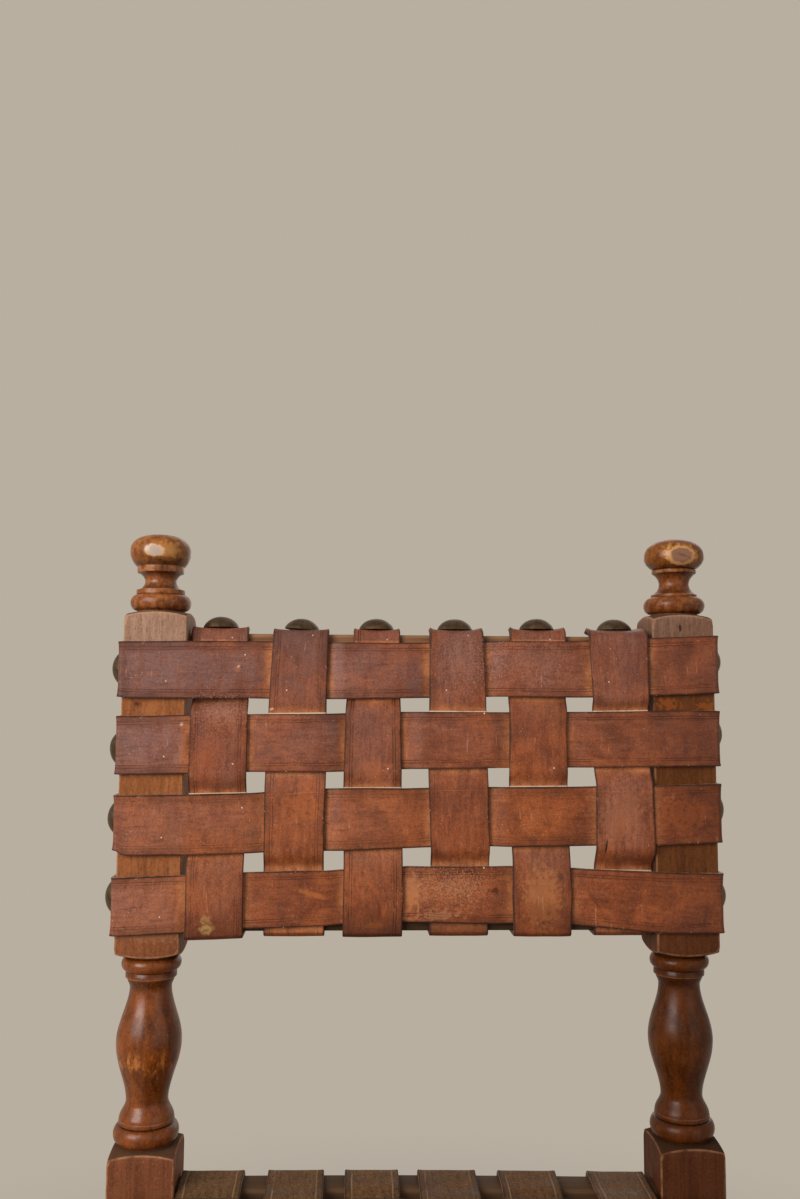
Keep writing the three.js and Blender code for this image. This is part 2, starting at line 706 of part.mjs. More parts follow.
// Turned stretcher along X with a round tenon at each end and a swelling in its middle. The shares
// are of half its clear length.
const stretcherRingShares = { shoulder: 0.9, cove: 0.81, ringOuter: 0.79, ringInner: 0.76 };
const stretcherBellyShare = 0.2;
function stretcherGeometry(clearLength) {
  const half = clearLength / 2 - fitGap;
  const at = (share) => half * share;
  const side = [
    [stretcherTenonRadius, half + stretcherTenonLength], [stretcherTenonRadius, half],
    [stretcherEndRadius, half], [stretcherEndRadius, at(stretcherRingShares.shoulder)],
    [stretcherNeckRadius, at(stretcherRingShares.cove)],
    [stretcherEndRadius, at(stretcherRingShares.ringOuter)],
    [stretcherEndRadius, at(stretcherRingShares.ringInner)],
    ...swell(stretcherNeckRadius, stretcherBellyRadius, at(stretcherRingShares.ringInner),
      at(stretcherBellyShare), 3),
  ];
  const other = side.map(([radius, x]) => [radius, -x]).reverse();
  const profile = [...side, ...other].reverse();
  const points = [[0, profile[0][1]], ...profile, [0, profile[profile.length - 1][1]]];
  const shape = points.map((p) => new THREE.Vector2(p[0], p[1]));
  return new THREE.LatheGeometry(shape, stretcherSides).rotateZ(-Math.PI / 2);
}
for (const [name, y] of [['front', -legY], ['rear', legY]]) {
  const stretcher = addPiece(chair, `stretcher_${name}`, stretcherGeometry(seatClearX), blockWood);
  stretcher.position.set(0, y, crossStretcherHeight);
}
for (const [name, side] of [['left', -1], ['right', 1]]) {
  const stretcher = addPiece(chair, `stretcher_${name}`, stretcherGeometry(seatClearY), blockWood);
  stretcher.position.set(side * postX, 0, sideStretcherHeight);
  stretcher.rotation.z = Math.PI / 2;
}

// Seat weave: long straps run front to back and cross straps run side to side.
const seatStrapCount = 6;
const seatOuterX = seatClearX / 2 - seatStrapWidth / 2 - seatStrapSideGap;
const seatOuterY = seatClearY / 2 - seatStrapWidth / 2 - seatStrapSideGap;
const longWanderShares = [-0.01, 0.035, -0.085, -0.18, -0.2, -0.075];
const seatPlane = seatRailTop + strapGap + strapThickness / 2;

const longX = (strap) => seatOuterX * (2 * strap / (seatStrapCount - 1) - 1)
  + longWanderShares[strap] * seatStrapWidth;
const crossY = (strap) => seatOuterY * (2 * strap / (seatStrapCount - 1) - 1);

// Dip of the seat's middle surface below the rails.
function dip(x, y) {
  const across = Math.cos(Math.PI / 2 * Math.min(Math.abs(x) / (seatClearX / 2), 1));
  const along = Math.cos(Math.PI / 2 * Math.min(Math.abs(y) / (legY - railThickness / 2), 1));
  return seatSag * across * along;
}

// Edge paths of a seat strap along its own direction: [along, weave height] stations.
function seatStations(railAxis, crossings, overCrossing) {
  const half = seatStrapWidth / 2 + 2 * strapGap;
  const outerFace = railAxis + railThickness / 2;
  const wrap = railChamfer + strapGap + strapThickness / 2;
  const innerFace = railAxis - railThickness / 2;
  const bendSteps = 2;
  const side = (sign) => {
    const points = [[sign * (outerFace + strapGap + strapThickness / 2), -seatStrapDrop]];
    for (let i = 0; i <= bendSteps; i += 1) {
      const angle = i / bendSteps * Math.PI / 2;
      const out = outerFace - railChamfer + wrap * Math.cos(angle);
      points.push([sign * out, wrap * Math.sin(angle) - wrap]);
    }
    points.push([sign * innerFace, 0]);
    return points;
  };
  const stations = side(-1);
  crossings.forEach((centre, i) => {
    const height = (overCrossing(i) ? 1 : -1) * layerStep / 2;
    ease(stations, [centre - half, height], 2);
    stations.push([centre + half, height]);
  });
  ease(stations, [innerFace, 0], 2);
  const end = side(1);
  end.pop();
  stations.push(...end.reverse());
  return stations;
}

function seatStrap(stations, isLong, centre) {
  const edges = [-1, 1].map((side) => stations.map(([along, height]) => {
    const edge = centre + side * seatStrapWidth / 2;
    const x = isLong ? edge : along;
    const y = isLong ? along : edge;
    return new THREE.Vector3(x, y, seatPlane + height - dip(x, y));
  }));
  return strapGeometry(edges[0], edges[1], strapThickness);
}

const longCentres = [];
const crossCentres = [];
for (let strap = 0; strap < seatStrapCount; strap += 1) {
  longCentres.push(longX(strap));
  crossCentres.push(crossY(strap));
}
for (let strap = 0; strap < seatStrapCount; strap += 1) {
  const longStations = seatStations(legY, crossCentres, (i) => (i + strap) % 2 === 0);
  const crossStations = seatStations(postX, longCentres, (i) => (i + strap) % 2 === 1);
  const long = seatStrap(longStations, true, longX(strap));
  const cross = seatStrap(crossStations, false, crossY(strap));
  addPiece(chair, `seat_long_strap_${strap + 1}`, long, seatLeather);
  addPiece(chair, `seat_cross_strap_${strap + 1}`, cross, seatLeather);
}

// The origin is on the floor, below the middle of the whole chair.
chair.updateMatrixWorld(true);
const bounds = new THREE.Box3().setFromObject(chair, true);
chair.position.x = -(bounds.min.x + bounds.max.x) / 2;
chair.position.y = -(bounds.min.y + bounds.max.y) / 2;

export default chair;
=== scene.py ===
import json
import math

import bmesh
import bpy
from mathutils import Matrix, Quaternion, Vector, noise


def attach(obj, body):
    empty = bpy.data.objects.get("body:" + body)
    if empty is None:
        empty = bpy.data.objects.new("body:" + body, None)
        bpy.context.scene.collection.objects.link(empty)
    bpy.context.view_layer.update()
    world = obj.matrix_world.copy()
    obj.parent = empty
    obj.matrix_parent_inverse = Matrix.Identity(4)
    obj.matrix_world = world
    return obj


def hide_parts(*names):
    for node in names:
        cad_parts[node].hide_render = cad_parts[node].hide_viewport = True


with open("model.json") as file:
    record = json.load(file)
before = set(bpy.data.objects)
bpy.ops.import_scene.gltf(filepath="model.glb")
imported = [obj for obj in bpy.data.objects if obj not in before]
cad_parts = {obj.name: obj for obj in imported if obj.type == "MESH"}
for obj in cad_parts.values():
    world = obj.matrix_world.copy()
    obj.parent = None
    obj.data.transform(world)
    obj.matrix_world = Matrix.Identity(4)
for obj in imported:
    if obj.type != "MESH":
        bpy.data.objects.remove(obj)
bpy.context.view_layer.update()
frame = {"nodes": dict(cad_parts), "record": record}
feet = {mount["name"]: Vector(mount["pos_m"]) for mount in frame["record"]["mounts"]}
mm = 0.001
print("frame loaded:", len(frame["nodes"]), "nodes")


def addObject(name, data):
    made = bpy.data.objects.new(name, data)
    bpy.context.collection.objects.link(made)
    return made


# A camera or lamp at a place, turned to look along a direction
def aimed(name, data, place, looks, roll=0.0):
    made = addObject(name, data)
    made.location = place
    made.rotation_mode = "QUATERNION"
    made.rotation_quaternion = Vector(looks).to_track_quat("-Z", "Y") @ Quaternion((0, 0, 1), roll)
    return made


camera = dict(place=(-0.0528, -0.6425, 0.8668), looks=(0.0428, 0.999, 0.022), roll=0.0093, lens=32.52,
              sensor=36, nearest=0.01)


def makeCamera(values):
    data = bpy.data.cameras.new("camera")
    data.lens = values["lens"]
    data.sensor_width = values["sensor"]
    data.clip_start = values["nearest"]
    bpy.context.scene.camera = aimed("camera", data, values["place"], values["looks"], values["roll"])


makeCamera(camera)


# A colour as it is seen on screen, 0 to 255, turned to the linear values that the shaders take
def paint(red, green, blue):
    linear = []
    for value in (red / 255, green / 255, blue / 255):
        linear.append(value / 12.92 if value <= 0.04045 else ((value + 0.055) / 1.055) ** 2.4)
    return (*linear, 1.0)


def smooth(share):
    share = min(max(share, 0.0), 1.0)
    return share * share * (3 - 2 * share)


def mix(first, last, share):
    return first + (last - first) * share


# 1 at a place and less with distance from it, as far as the reach
def hump(away, reach):
    return math.exp(-((away / reach) ** 2))


# Short calls for the shader nodes. They go into the tree that was started last.
bench = dict(tree=None)


def plug(socket, value):
    if isinstance(value, bpy.types.NodeSocket):
        bench["tree"].links.new(value, socket)
    else:
        socket.default_value = paint(*value) if socket.type == "RGBA" else value


def addNode(kind, inputs=None, **settings):
    made = bench["tree"].nodes.new("ShaderNode" + kind)
    for key, value in settings.items():
        setattr(made, key, value)
    for key, value in (inputs or {}).items():
        plug(made.inputs[key], value)
    return made


def mathNode(operation, first, second=0.0, clamp=False):
    return addNode("Math", {0: first, 1: second}, operation=operation, use_clamp=clamp).outputs[0]


def times(*factors):
    product = factors[0]
    for factor in factors[1:]:
        product = mathNode("MULTIPLY", product, factor)
    return product


def plus(first, second, clamp=False):
    return mathNode("ADD", first, second, clamp)


def minus(first, second):
    return mathNode("SUBTRACT", first, second)


def lengthOf(vector):
    return addNode("VectorMath", {0: vector}, operation="LENGTH").outputs["Value"]


def mixColour(share, first, second):
    made = addNode("Mix", {"Factor": share}, data_type="RGBA")
    for socket in made.inputs:
        if socket.type == "RGBA":
            plug(socket, first if socket.name == "A" else second)
    return next(socket for socket in made.outputs if socket.type == "RGBA")


# Colours laid over one another, each with its own share
def layered(colour, *layers):
    for share, tint in layers:
        colour = mixColour(share, colour, tint)
    return colour


def remap(value, low, high, toLow=0.0, toHigh=1.0, kind="SMOOTHSTEP"):
    ends = dict(enumerate((value, low, high, toLow, toHigh)))
    return addNode("MapRange", ends, interpolation_type=kind).outputs[0]


def evenly(value, first, last, low=0.0, high=1.0):
    return remap(value, low, high, first, last, "LINEAR")


def stretched(vector, scale, turn=(0, 0, 0), place=(0, 0, 0), kind="POINT"):
    inputs = dict(Vector=vector, Location=place, Rotation=turn, Scale=scale)
    return addNode("Mapping", inputs, vector_type=kind).outputs[0]


def noiseAt(vector, scale, detail=3.0, roughness=0.55, distortion=0.0):
    inputs = dict(Vector=vector, Scale=scale, Detail=detail, Roughness=roughness, Distortion=distortion)
    return addNode("TexNoise", inputs).outputs[0]


def cellsAt(vector, scale):
    return addNode("TexVoronoi", dict(Vector=vector, Scale=scale)).outputs["Distance"]


def attributeOf(name, output="Fac"):
    return addNode("Attribute", attribute_name=name).outputs[output]


def objectPlace():
    return addNode("TexCoord").outputs["Object"]


def split(vector):
    return tuple(addNode("SeparateXYZ", {0: vector}).outputs)


def bumps(height, strength, distance, under=None):
    inputs = dict(Strength=strength, Distance=distance, Height=height)
    if under:
        inputs["Normal"] = under
    return addNode("Bump", inputs).outputs[0]


def newMaterial(name):
    made = bpy.data.materials.new(name)
    made.use_nodes = True
    bench["tree"] = made.node_tree
    return made, made.node_tree.nodes["Principled BSDF"]


def dress(shader, colour, rough, normal, specular=0.5, metallic=0.0):
    names = ("Base Color", "Roughness", "Normal", "Specular IOR Level", "Metallic")
    for name, value in zip(names, (colour, rough, normal, specular, metallic)):
        plug(shader.inputs[name], value)


marking = dict(coarse=300, fine=800, fineFrom=1.5, crispBelow=0.2, crisp=(0.7, 0.92), soft=(0.45, 1.15))


# How strongly a mark shows: its strength inside an ellipse on the chair's front and 0 outside it, with
# a rim that noise makes ragged
def markAt(place, x, z, longRadius, shortRadius, turn, strength, ragged):
    inside = stretched(place, (longRadius, 100, shortRadius), (0, turn, 0), (x, 0, z), "TEXTURE")
    grainy = noiseAt(place, marking["coarse" if ragged < marking["fineFrom"] else "fine"], 3, 0.6)
    away = plus(lengthOf(inside), evenly(grainy, -ragged, ragged, 0.3, 0.7))
    rim = marking["crisp" if ragged < marking["crispBelow"] else "soft"]
    return remap(away, *rim, strength, 0)


# Marks are (x, z, long radius, short radius, turn, colour, strength, raggedness). They are on the
# front only, which is less deep than the given limit.
def markedWith(place, colour, marks, limit):
    front = remap(split(place)[1], limit, limit + 0.01, 1, 0)
    for *spot, tint, strength, ragged in marks:
        share = times(markAt(place, *spot, strength, ragged), front)
        colour = mixColour(share, colour, tint)
    return colour


woodMarksAndLight = [
    (-0.2158, 0.8039, 0.0042, 0.003, 0.3, (104, 52, 26), 0.75, 0.3),
    (-0.2158, 0.8039, 0.0018, 0.0012, 0.3, (54, 26, 14), 0.8, 0.2),
    (0.2014, 0.8652, 0.0013, 0.0034, 0, (40, 24, 18), 0.9, 0.2),
    (0.1905, 0.8065, 0.0085, 0.006, 0, (150, 80, 36), 0.6, 0.9),
    (-0.201, 0.634, 0.026, 0.006, 0, (172, 116, 84), 0.34, 0.6),
    (-0.21, 0.756, 0.013, 0.007, 0, (180, 126, 98), 0.34, 0.6),
    (0.2195, 0.8045, 0.0075, 0.005, 0.1, (146, 78, 34), 0.6, 0.9),
    # Painted light on the right of the left knob, and painted shade on its left
    (-0.195, 0.9222, 0.01, 0.007, 0, (206, 144, 72), 0.5, 0.5),
    (-0.2175, 0.918, 0.006, 0.009, 0.2, (92, 48, 18), 0.4, 0.4),
    # Painted reflection: the pale flat on the left knob catching the light
    (-0.206, 0.9214, 0.0096, 0.0058, 0.05, (220, 180, 142), 0.72, 0.12),
    (-0.206, 0.9214, 0.0064, 0.0041, 0.05, (168, 154, 144), 0.85, 0.2),
    # Painted light on the right of the right knob
    (0.2136, 0.9215, 0.006, 0.007, 0, (190, 122, 58), 0.45, 0.5),
    (0.2044, 0.927, 0.013, 0.005, 0.04, (212, 154, 84), 0.55, 0.4),
    (0.2036, 0.9226, 0.0146, 0.0093, 0.04, (208, 152, 98), 0.8, 0.14),
    (0.2042, 0.9227, 0.0105, 0.007, 0.04, (130, 90, 72), 0.9, 0.1),
    (0.206, 0.9219, 0.0062, 0.0006, 0.25, (84, 48, 34), 0.6, 0.4),
    (0.2035, 0.9236, 0.005, 0.0005, 0.2, (92, 56, 40), 0.5, 0.4),
]

wood = dict(
    polish=dict(dark=(70, 28, 4), mid=(122, 58, 14), light=(164, 88, 28), amber=(174, 104, 52),
                honey=(178, 110, 42), rubbed=(192, 116, 54)),
    blockLow=dict(dark=(104, 56, 32), light=(130, 74, 44)),
    blockMiddle=dict(dark=(132, 76, 36), light=(158, 94, 50)),
    blockTop=dict(dark=(150, 112, 90), light=(172, 134, 110)),
    worn=(190, 140, 100), dust=(74, 54, 36), grooveShade=(56, 24, 8), shadeLow=(34, 12, 2), shadeHigh=(60, 16, 0),
    fleck=(66, 34, 20), pit=(60, 28, 14), glint=(196, 146, 106), stain=(64, 32, 16), dirt=(50, 24, 10),
    lowToMiddle=(0.55, 0.74), middleToTop=(0.806, 0.85), blockShade=(0.83, 0.846),
    finialShade=(0.868, 0.876), amberFrom=(0.868, 0.873), honeyFrom=(0.905, 0.914), rubbedAt=0.539,
    satinFrom=(0.64, 0.66), frontTo=0.212,
)


# Wood of the posts, legs and stretchers. "grain" holds each point's place in the straight stock, with
# Z along the grain. The others say where it was turned, worn at the edges and dusty, and where painted
# shade darkens it: in its grooves, under the knobs and all over the shaded right side.
def postWood(values):
    made, shader = newMaterial("post_wood")
    place, grain = objectPlace(), attributeOf("grain", "Vector")
    turned, wear, dust, grooveShade, shade = map(attributeOf, ("turned", "wear", "dust", "grooveShade", "shade"))
    height = split(grain)[2]
    shade = times(shade, remap(height, *values["blockShade"], 1, 0.75),
                  remap(height, *values["finialShade"], 1, 0.6))
    streaks = noiseAt(stretched(grain, (1, 1, 0.06)), 330, 4, 0.6, 0.3)
    flecks = noiseAt(stretched(grain, (1, 1, 0.17)), 1000, 2, 0.5)
    figure = noiseAt(stretched(grain, (1, 1, 0.3)), 36, 3, 0.45, 1.2)
    rubbed = noiseAt(stretched(grain, (1, 1, 0.22)), 240, 4, 0.6)
    blotch, fine = noiseAt(grain, 42, 5, 0.65), noiseAt(grain, 620, 3, 0.7)
    line = remap(flecks, 0.54, 0.66)
    tone = remap(plus(times(streaks, 0.5), times(figure, 0.5)), 0.38, 0.62)
    polish = values["polish"]
    honey = mixColour(remap(height, *values["honeyFrom"]), polish["amber"], polish["honey"])
    mottled = times(remap(height, *values["amberFrom"]),
                    remap(noiseAt(grain, 150, 5, 0.7), 0.36, 0.68, 0.05, 0.85))
    low = remap(mathNode("ABSOLUTE", minus(height, values["rubbedAt"])), 0.002, 0.013, 1, 0)
    patch = times(remap(rubbed, 0.5, 0.64), low, minus(1.0, times(shade, 0.8)), 0.75)
    varnish = layered(
        mixColour(remap(blotch, 0.36, 0.66), polish["dark"], polish["mid"]),
        (times(tone, 0.34), polish["light"]), (mottled, honey), (patch, polish["rubbed"]))
    blocks = [values[name] for name in ("blockLow", "blockMiddle", "blockTop")]
    block, middle, top = [mixColour(tone, tones["dark"], tones["light"]) for tones in blocks]
    block = layered(block, (remap(height, *values["lowToMiddle"]), middle),
                    (remap(height, *values["middleToTop"]), top))
    rub = times(remap(wear, 0.78, 1.0), remap(noiseAt(grain, 150, 4), 0.35, 0.62, 0.15, 1),
                evenly(shade, 0.5, 0.3))
    shaded = mixColour(remap(height, *values["blockShade"]), values["shadeLow"], values["shadeHigh"])
    colour = layered(
        mixColour(turned, block, varnish),
        (times(line, evenly(turned, 0.28, 0.2)), values["fleck"]),
        (remap(fine, 0.5, 0.72, 0, 0.36), values["pit"]),
        (remap(fine, 0.46, 0.3, 0, 0.16), values["glint"]),
        (times(remap(noiseAt(grain, 66, 5, 0.7), 0.58, 0.75), 0.34), values["stain"]),
        (times(turned, remap(noiseAt(grain, 330, 4, 0.7), 0.54, 0.72, 0, 0.32)), values["dirt"]),
        (times(dust, 0.75), values["dust"]),
        # Painted shade in the grooves and under the knobs
        (times(grooveShade, remap(fine, 0.3, 0.65, 0.5, 0.75)), values["grooveShade"]),
        (times(shade, 0.6), shaded),
        (rub, values["worn"]))
    colour = markedWith(place, colour, woodMarksAndLight, values["frontTo"])
    smudge = remap(noiseAt(grain, 90, 4), 0.3, 0.7, 0.0, 0.16)
    satin = remap(height, *values["satinFrom"], 0.56, 0.64)
    rough = plus(plus(smudge, evenly(turned, satin, 0.23)), times(dust, 0.3), clamp=True)
    shine = times(evenly(turned, 0.18, 0.34), remap(shade, 0, 1, 1, 0.5))
    dents = bumps(noiseAt(grain, 60, 3), 0.3, 0.0005)
    ridges = plus(times(line, -0.5), streaks)
    dress(shader, colour, rough, bumps(ridges, 0.22, 0.00022, dents), shine)
    return made


rail = dict(dark=(92, 58, 36), light=(134, 90, 58), bleached=(146, 106, 76), pore=(44, 26, 16),
            worn=(176, 132, 94), soilAndShade=(52, 40, 26))


# Plainer, duller wood of the rails
def railWood(values):
    made, shader = newMaterial("rail_wood")
    grain, wear = attributeOf("grain", "Vector"), attributeOf("wear")
    streaks = noiseAt(stretched(grain, (1, 1, 0.04)), 85, 6, 0.65, 0.5)
    pores = noiseAt(stretched(grain, (1, 1, 0.02)), 600, 2)
    y, z = split(objectPlace())[1:]
    # Darker below the top rail, less so on rear faces: soiling, and painted shade under the straps
    soilAndShade = times(remap(z, 0.7, 0.75, 0.84, 0), remap(z, 0.45, 0.6, 0.86, 1),
                   remap(y, 0.197, 0.204, 1, 0.4))
    colour = layered(
        mixColour(remap(streaks, 0.35, 0.68), values["dark"], values["light"]),
        (remap(noiseAt(grain, 18, 3), 0.4, 0.7, 0, 0.45), values["bleached"]),
        (remap(pores, 0.55, 0.72, 0, 0.45), values["pore"]),
        (times(wear, 0.4), values["worn"]),
        (soilAndShade, values["soilAndShade"]))
    normal = bumps(plus(pores, streaks), 0.35, 0.0004)
    dress(shader, colour, remap(streaks, 0.3, 0.7, 0.62, 0.8), normal, 0.12)
    return made


leather = dict(
    creaseAt=(0.0045, 0.0064), creaseWidth=0.00028, bandShare=(0.34, 0.8), gloss=0.24, grain=1.0,
    warm=(164, 84, 38), deep=(116, 56, 28), dustAndSheen=(130, 92, 84), band=(204, 130, 82), dark=(58, 26, 16),
    light=(196, 138, 104), glow=(204, 120, 64), burnishAndShade=(52, 24, 14), speck=(236, 212, 188),
    dust=(222, 196, 168), crease=(52, 24, 14),
)
leatherMarksAndSheen = [
    (-0.1593, 0.6388, 0.0052, 0.0046, 0.2, (204, 158, 98), 0.8, 0.4),
    (-0.1603, 0.6455, 0.0036, 0.0032, 0.2, (190, 142, 84), 0.55, 0.5),
    (0.1412, 0.6988, 0.0012, 0.0068, 0.12, (24, 12, 8), 0.98, 0.2),
    (0.1400, 0.703, 0.0006, 0.009, 0.12, (60, 26, 14), 0.6, 0.2),
    (0.1071, 0.6749, 0.0028, 0.0042, 0, (70, 46, 36), 0.6, 0.4),
    (0.1083, 0.658, 0.0009, 0.015, 0.04, (78, 42, 28), 0.45, 0.4),
    (-0.0065, 0.664, 0.0075, 0.017, 0, (206, 136, 84), 0.4, 0.45),
    (0.006, 0.668, 0.006, 0.015, 0.1, (178, 108, 66), 0.3, 0.4),
    (0.028, 0.668, 0.017, 0.008, 0, (208, 152, 112), 0.3, 2.0),
    (0.014, 0.6625, 0.02, 0.011, 0, (190, 130, 90), 0.14, 1.7),
    (0.0563, 0.6643, 0.0034, 0.0026, 0.4, (66, 28, 16), 0.75, 0.5),
    (0.0513, 0.6643, 0.0014, 0.003, 0.2, (78, 34, 20), 0.5, 0.5),
    (-0.0827, 0.6623, 0.0125, 0.0026, 0.24, (198, 116, 56), 0.5, 0.3),
    (-0.0346, 0.639, 0.0105, 0.0022, 0, (196, 108, 42), 0.5, 0.3),
    (-0.0277, 0.6477, 0.0018, 0.0042, 0, (196, 108, 48), 0.45, 0.3),
    (0.0925, 0.6606, 0.015, 0.025, 0, (192, 124, 72), 0.42, 0.6),
    (0.0905, 0.6506, 0.012, 0.007, 0.2, (110, 56, 24), 0.35, 0.7),
    (0.1317, 0.659, 0.015, 0.0018, 0.98, (78, 38, 24), 0.45, 0.3),
    (0.2157, 0.648, 0.0018, 0.012, 0.2, (78, 38, 26), 0.4, 0.3),
    (-0.14, 0.833, 0.0014, 0.0018, 0.5, (240, 190, 150), 0.85, 0.6),
    (-0.1405, 0.8312, 0.003, 0.003, 0.5, (176, 110, 84), 0.4, 0.8),
    (-0.1815, 0.7892, 0.0016, 0.0018, 0.5, (206, 170, 150), 0.7, 0.4),
    (-0.115, 0.8, 0.0012, 0.0018, 0.9, (226, 176, 140), 0.8, 0.6),
    (0.067, 0.756, 0.012, 0.008, 0.2, (186, 106, 54), 0.3, 0.6),
    (-0.09, 0.727, 0.014, 0.012, 0.1, (190, 106, 50), 0.3, 0.7),
    (0.153, 0.722, 0.017, 0.028, 0.3, (180, 112, 70), 0.28, 0.5),
    (-0.1583, 0.6424, 0.0032, 0.0009, 0.6, (116, 66, 32), 0.6, 0.9),
    (-0.1602, 0.6376, 0.0024, 0.0008, -0.3, (124, 76, 38), 0.55, 0.9),
    # Pale dusty patches: dust with a painted sheen on it
    (0.033, 0.838, 0.014, 0.016, 0, (180, 130, 110), 0.26, 2.0),
    (0.084, 0.84, 0.022, 0.014, 0, (180, 130, 110), 0.2, 2.0),
    (-0.151, 0.799, 0.013, 0.009, 0.1, (184, 136, 116), 0.36, 1.9),
    (-0.162, 0.764, 0.013, 0.018, 0.1, (178, 88, 38), 0.4, 1.6),
    (-0.034, 0.754, 0.017, 0.008, 0, (184, 102, 54), 0.32, 0.7),
    (0.2, 0.722, 0.02, 0.013, 0.1, (190, 98, 44), 0.4, 0.8),
    (0.015, 0.647, 0.018, 0.004, 0, (206, 140, 98), 0.36, 0.7),
]


# Grain side of a strap. The map "strap" runs along it and across it in metres, and "edge" is the
# distance from its nearer edge in millimetres. "dive" is where it bends under another, "dusk" its dust
# and painted sheen, "tone" its own tone with painted light and shade in it, "lines" its creases and
# "crevice" the height over an upper edge.
def strapLeather(name, values, marks):
    made, shader = newMaterial(name)
    along, place = addNode("UVMap", uv_map="strap").outputs[0], objectPlace()
    dive, dustAndSheen, tone, lines, edge, crevice = map(
        attributeOf, ("dive", "dustAndSheen", "tone", "lines", "edge", "crevice"))
    wander = evenly(noiseAt(stretched(along, (1, 0.1, 1)), 60, 2), -0.0007, 0.0007)
    edgeAt = plus(times(edge, mm), wander)
    mottle = noiseAt(place, 40, 5, 0.6, 0.8)
    cloud = noiseAt(place, 15, 3, 0.5)
    brushed = noiseAt(stretched(along, (0.16, 1, 1)), 330, 4, 0.65, 0.3)
    rubbed = noiseAt(stretched(place, (1, 1, 0.3), (0, 0.5, 0)), 120, 4, 0.65)
    fine = noiseAt(place, 430, 4, 0.72)
    pores = noiseAt(place, 1000, 2, 0.6)
    # Dust with a painted sheen, most on the upper straps
    dustAndLight = times(dustAndSheen, remap(cloud, 0.36, 0.62, 0.45, 1), remap(edgeAt, 0.002, 0.013, 0.6, 1),
                  minus(1.0, dive), remap(fine, 0.32, 0.6, 0.6, 1))
    colour = layered(
        mixColour(remap(mottle, 0.3, 0.7), values["deep"], values["warm"]),
        # Positive tone lightens: the leather's own lighter tone, and painted light
        (evenly(tone, 0, 0.75), values["glow"]),
        (dustAndLight, values["dustAndSheen"]),
        # On the back straps the band where a strap dives under another is lighter: fresher leather, and
        # painted light against the shade there
        (times(dive, remap(mottle, 0.35, 0.62, *values["bandShare"])), values["band"]),
        (remap(rubbed, 0.46, 0.68, 0, 0.5), values["deep"]))
    for pattern, low, high, strength, tint in (
            (brushed, 0.5, 0.7, 0.34, "dark"), (brushed, 0.46, 0.3, 0.16, "light"),
            (fine, 0.5, 0.72, 0.34, "dark"), (fine, 0.46, 0.28, 0.17, "light"),
            (pores, 0.52, 0.66, 0.32, "dark"), (pores, 0.46, 0.32, 0.12, "light")):
        share = remap(pattern, low, high, 0, strength * values["grain"])
        colour = mixColour(share, colour, values[tint])
    # Darker towards the edges: burnished rims with painted contact shadow at the very edge, and painted
    # shade over the cupped border
    edgeShade = times(remap(edgeAt, 0.0015, 0.011, 0.36, 0.0), remap(cloud, 0.36, 0.62))
    burnishAndShade = plus(remap(edgeAt, 0.0001, 0.0017, 0.84, 0.0), edgeShade, clamp=True)
    creases = None
    for crease in values["creaseAt"]:
        away = mathNode("ABSOLUTE", minus(edgeAt, crease))
        groove = remap(away, values["creaseWidth"] * 0.3, values["creaseWidth"] * 1.8, 1, 0)
        creases = groove if creases is None else mathNode("MAXIMUM", creases, groove)
    creases = times(creases, remap(noiseAt(place, 38, 3, 0.6), 0.34, 0.6, 0.1, 1), lines)
    colour = layered(colour, (burnishAndShade, values["burnishAndShade"]), (times(creases, 0.68), values["crease"]))
    colour = markedWith(place, colour, marks, 0.5)
    scratch = noiseAt(stretched(place, (1, 1, 0.08), (0, 0.9, 0)), 420, 2, 0.5)
    speck = times(remap(cellsAt(along, 85), 0.035, 0.07, 1, 0), remap(noiseAt(along, 38, 2), 0.5, 0.56))
    dots = times(remap(cellsAt(along, 360), 0.07, 0.15, 1, 0),
                 remap(noiseAt(along, 60, 3), 0.5, 0.64, 0, 0.5))
    settled = times(remap(crevice, 0.6, 1.1, 1, 0), remap(crevice, -1.6, -1.2),
                    remap(mottle, 0.34, 0.5, 0.35, 0.85))
    colour = layered(
        colour,
        # Negative tone darkens: painted shade where a strap bends away, under the rails and towards the
        # right, with some of its own darker tone
        (evenly(tone, 0, 0.9, 0, -1), values["burnishAndShade"]),
        (times(remap(scratch, 0.68, 0.74, 0, 0.4), remap(mottle, 0.45, 0.6)), values["light"]),
        (mathNode("MAXIMUM", speck, dots), values["speck"]),
        (settled, values["dust"]))
    rough = plus(remap(mottle, 0.3, 0.7, 0.38, 0.54), times(dustAndLight, 0.1), clamp=True)
    pebbled = bumps(cellsAt(place, 760), 0.18, 0.0002)
    cockled = bumps(noiseAt(place, 75, 4, 0.6), 0.4, 0.0008, pebbled)
    dress(shader, colour, rough, bumps(times(creases, -1.0), 0.7, 0.0004, cockled), values["gloss"])
    return made


# The rim's "dust" colour is dust and painted light, on rims that face up
cut = dict(rim=((50, 28, 18), (104, 62, 40)), dust=(178, 144, 112), flesh=((104, 72, 50), (158, 118, 84)))


# Cut rim of the straps, burnished dark, and their fuzzy flesh side
def rimLeather(values):
    made, shader = newMaterial("strap_rim")
    place = objectPlace()
    tone = noiseAt(place, 160, 4, 0.6)
    facing = split(addNode("NewGeometry").outputs["Normal"])[2]
    # Rims that face up are paler: dust, and painted light from above
    dustAndLight = times(remap(facing, 0.2, 0.8), remap(tone, 0.35, 0.6, 0.15, 0.7))
    colour = layered(mixColour(remap(tone, 0.35, 0.7), *values["rim"]), (dustAndLight, values["dust"]))
    dress(shader, colour, 0.6, bumps(noiseAt(place, 700, 3), 0.3, 0.0003))
    return made


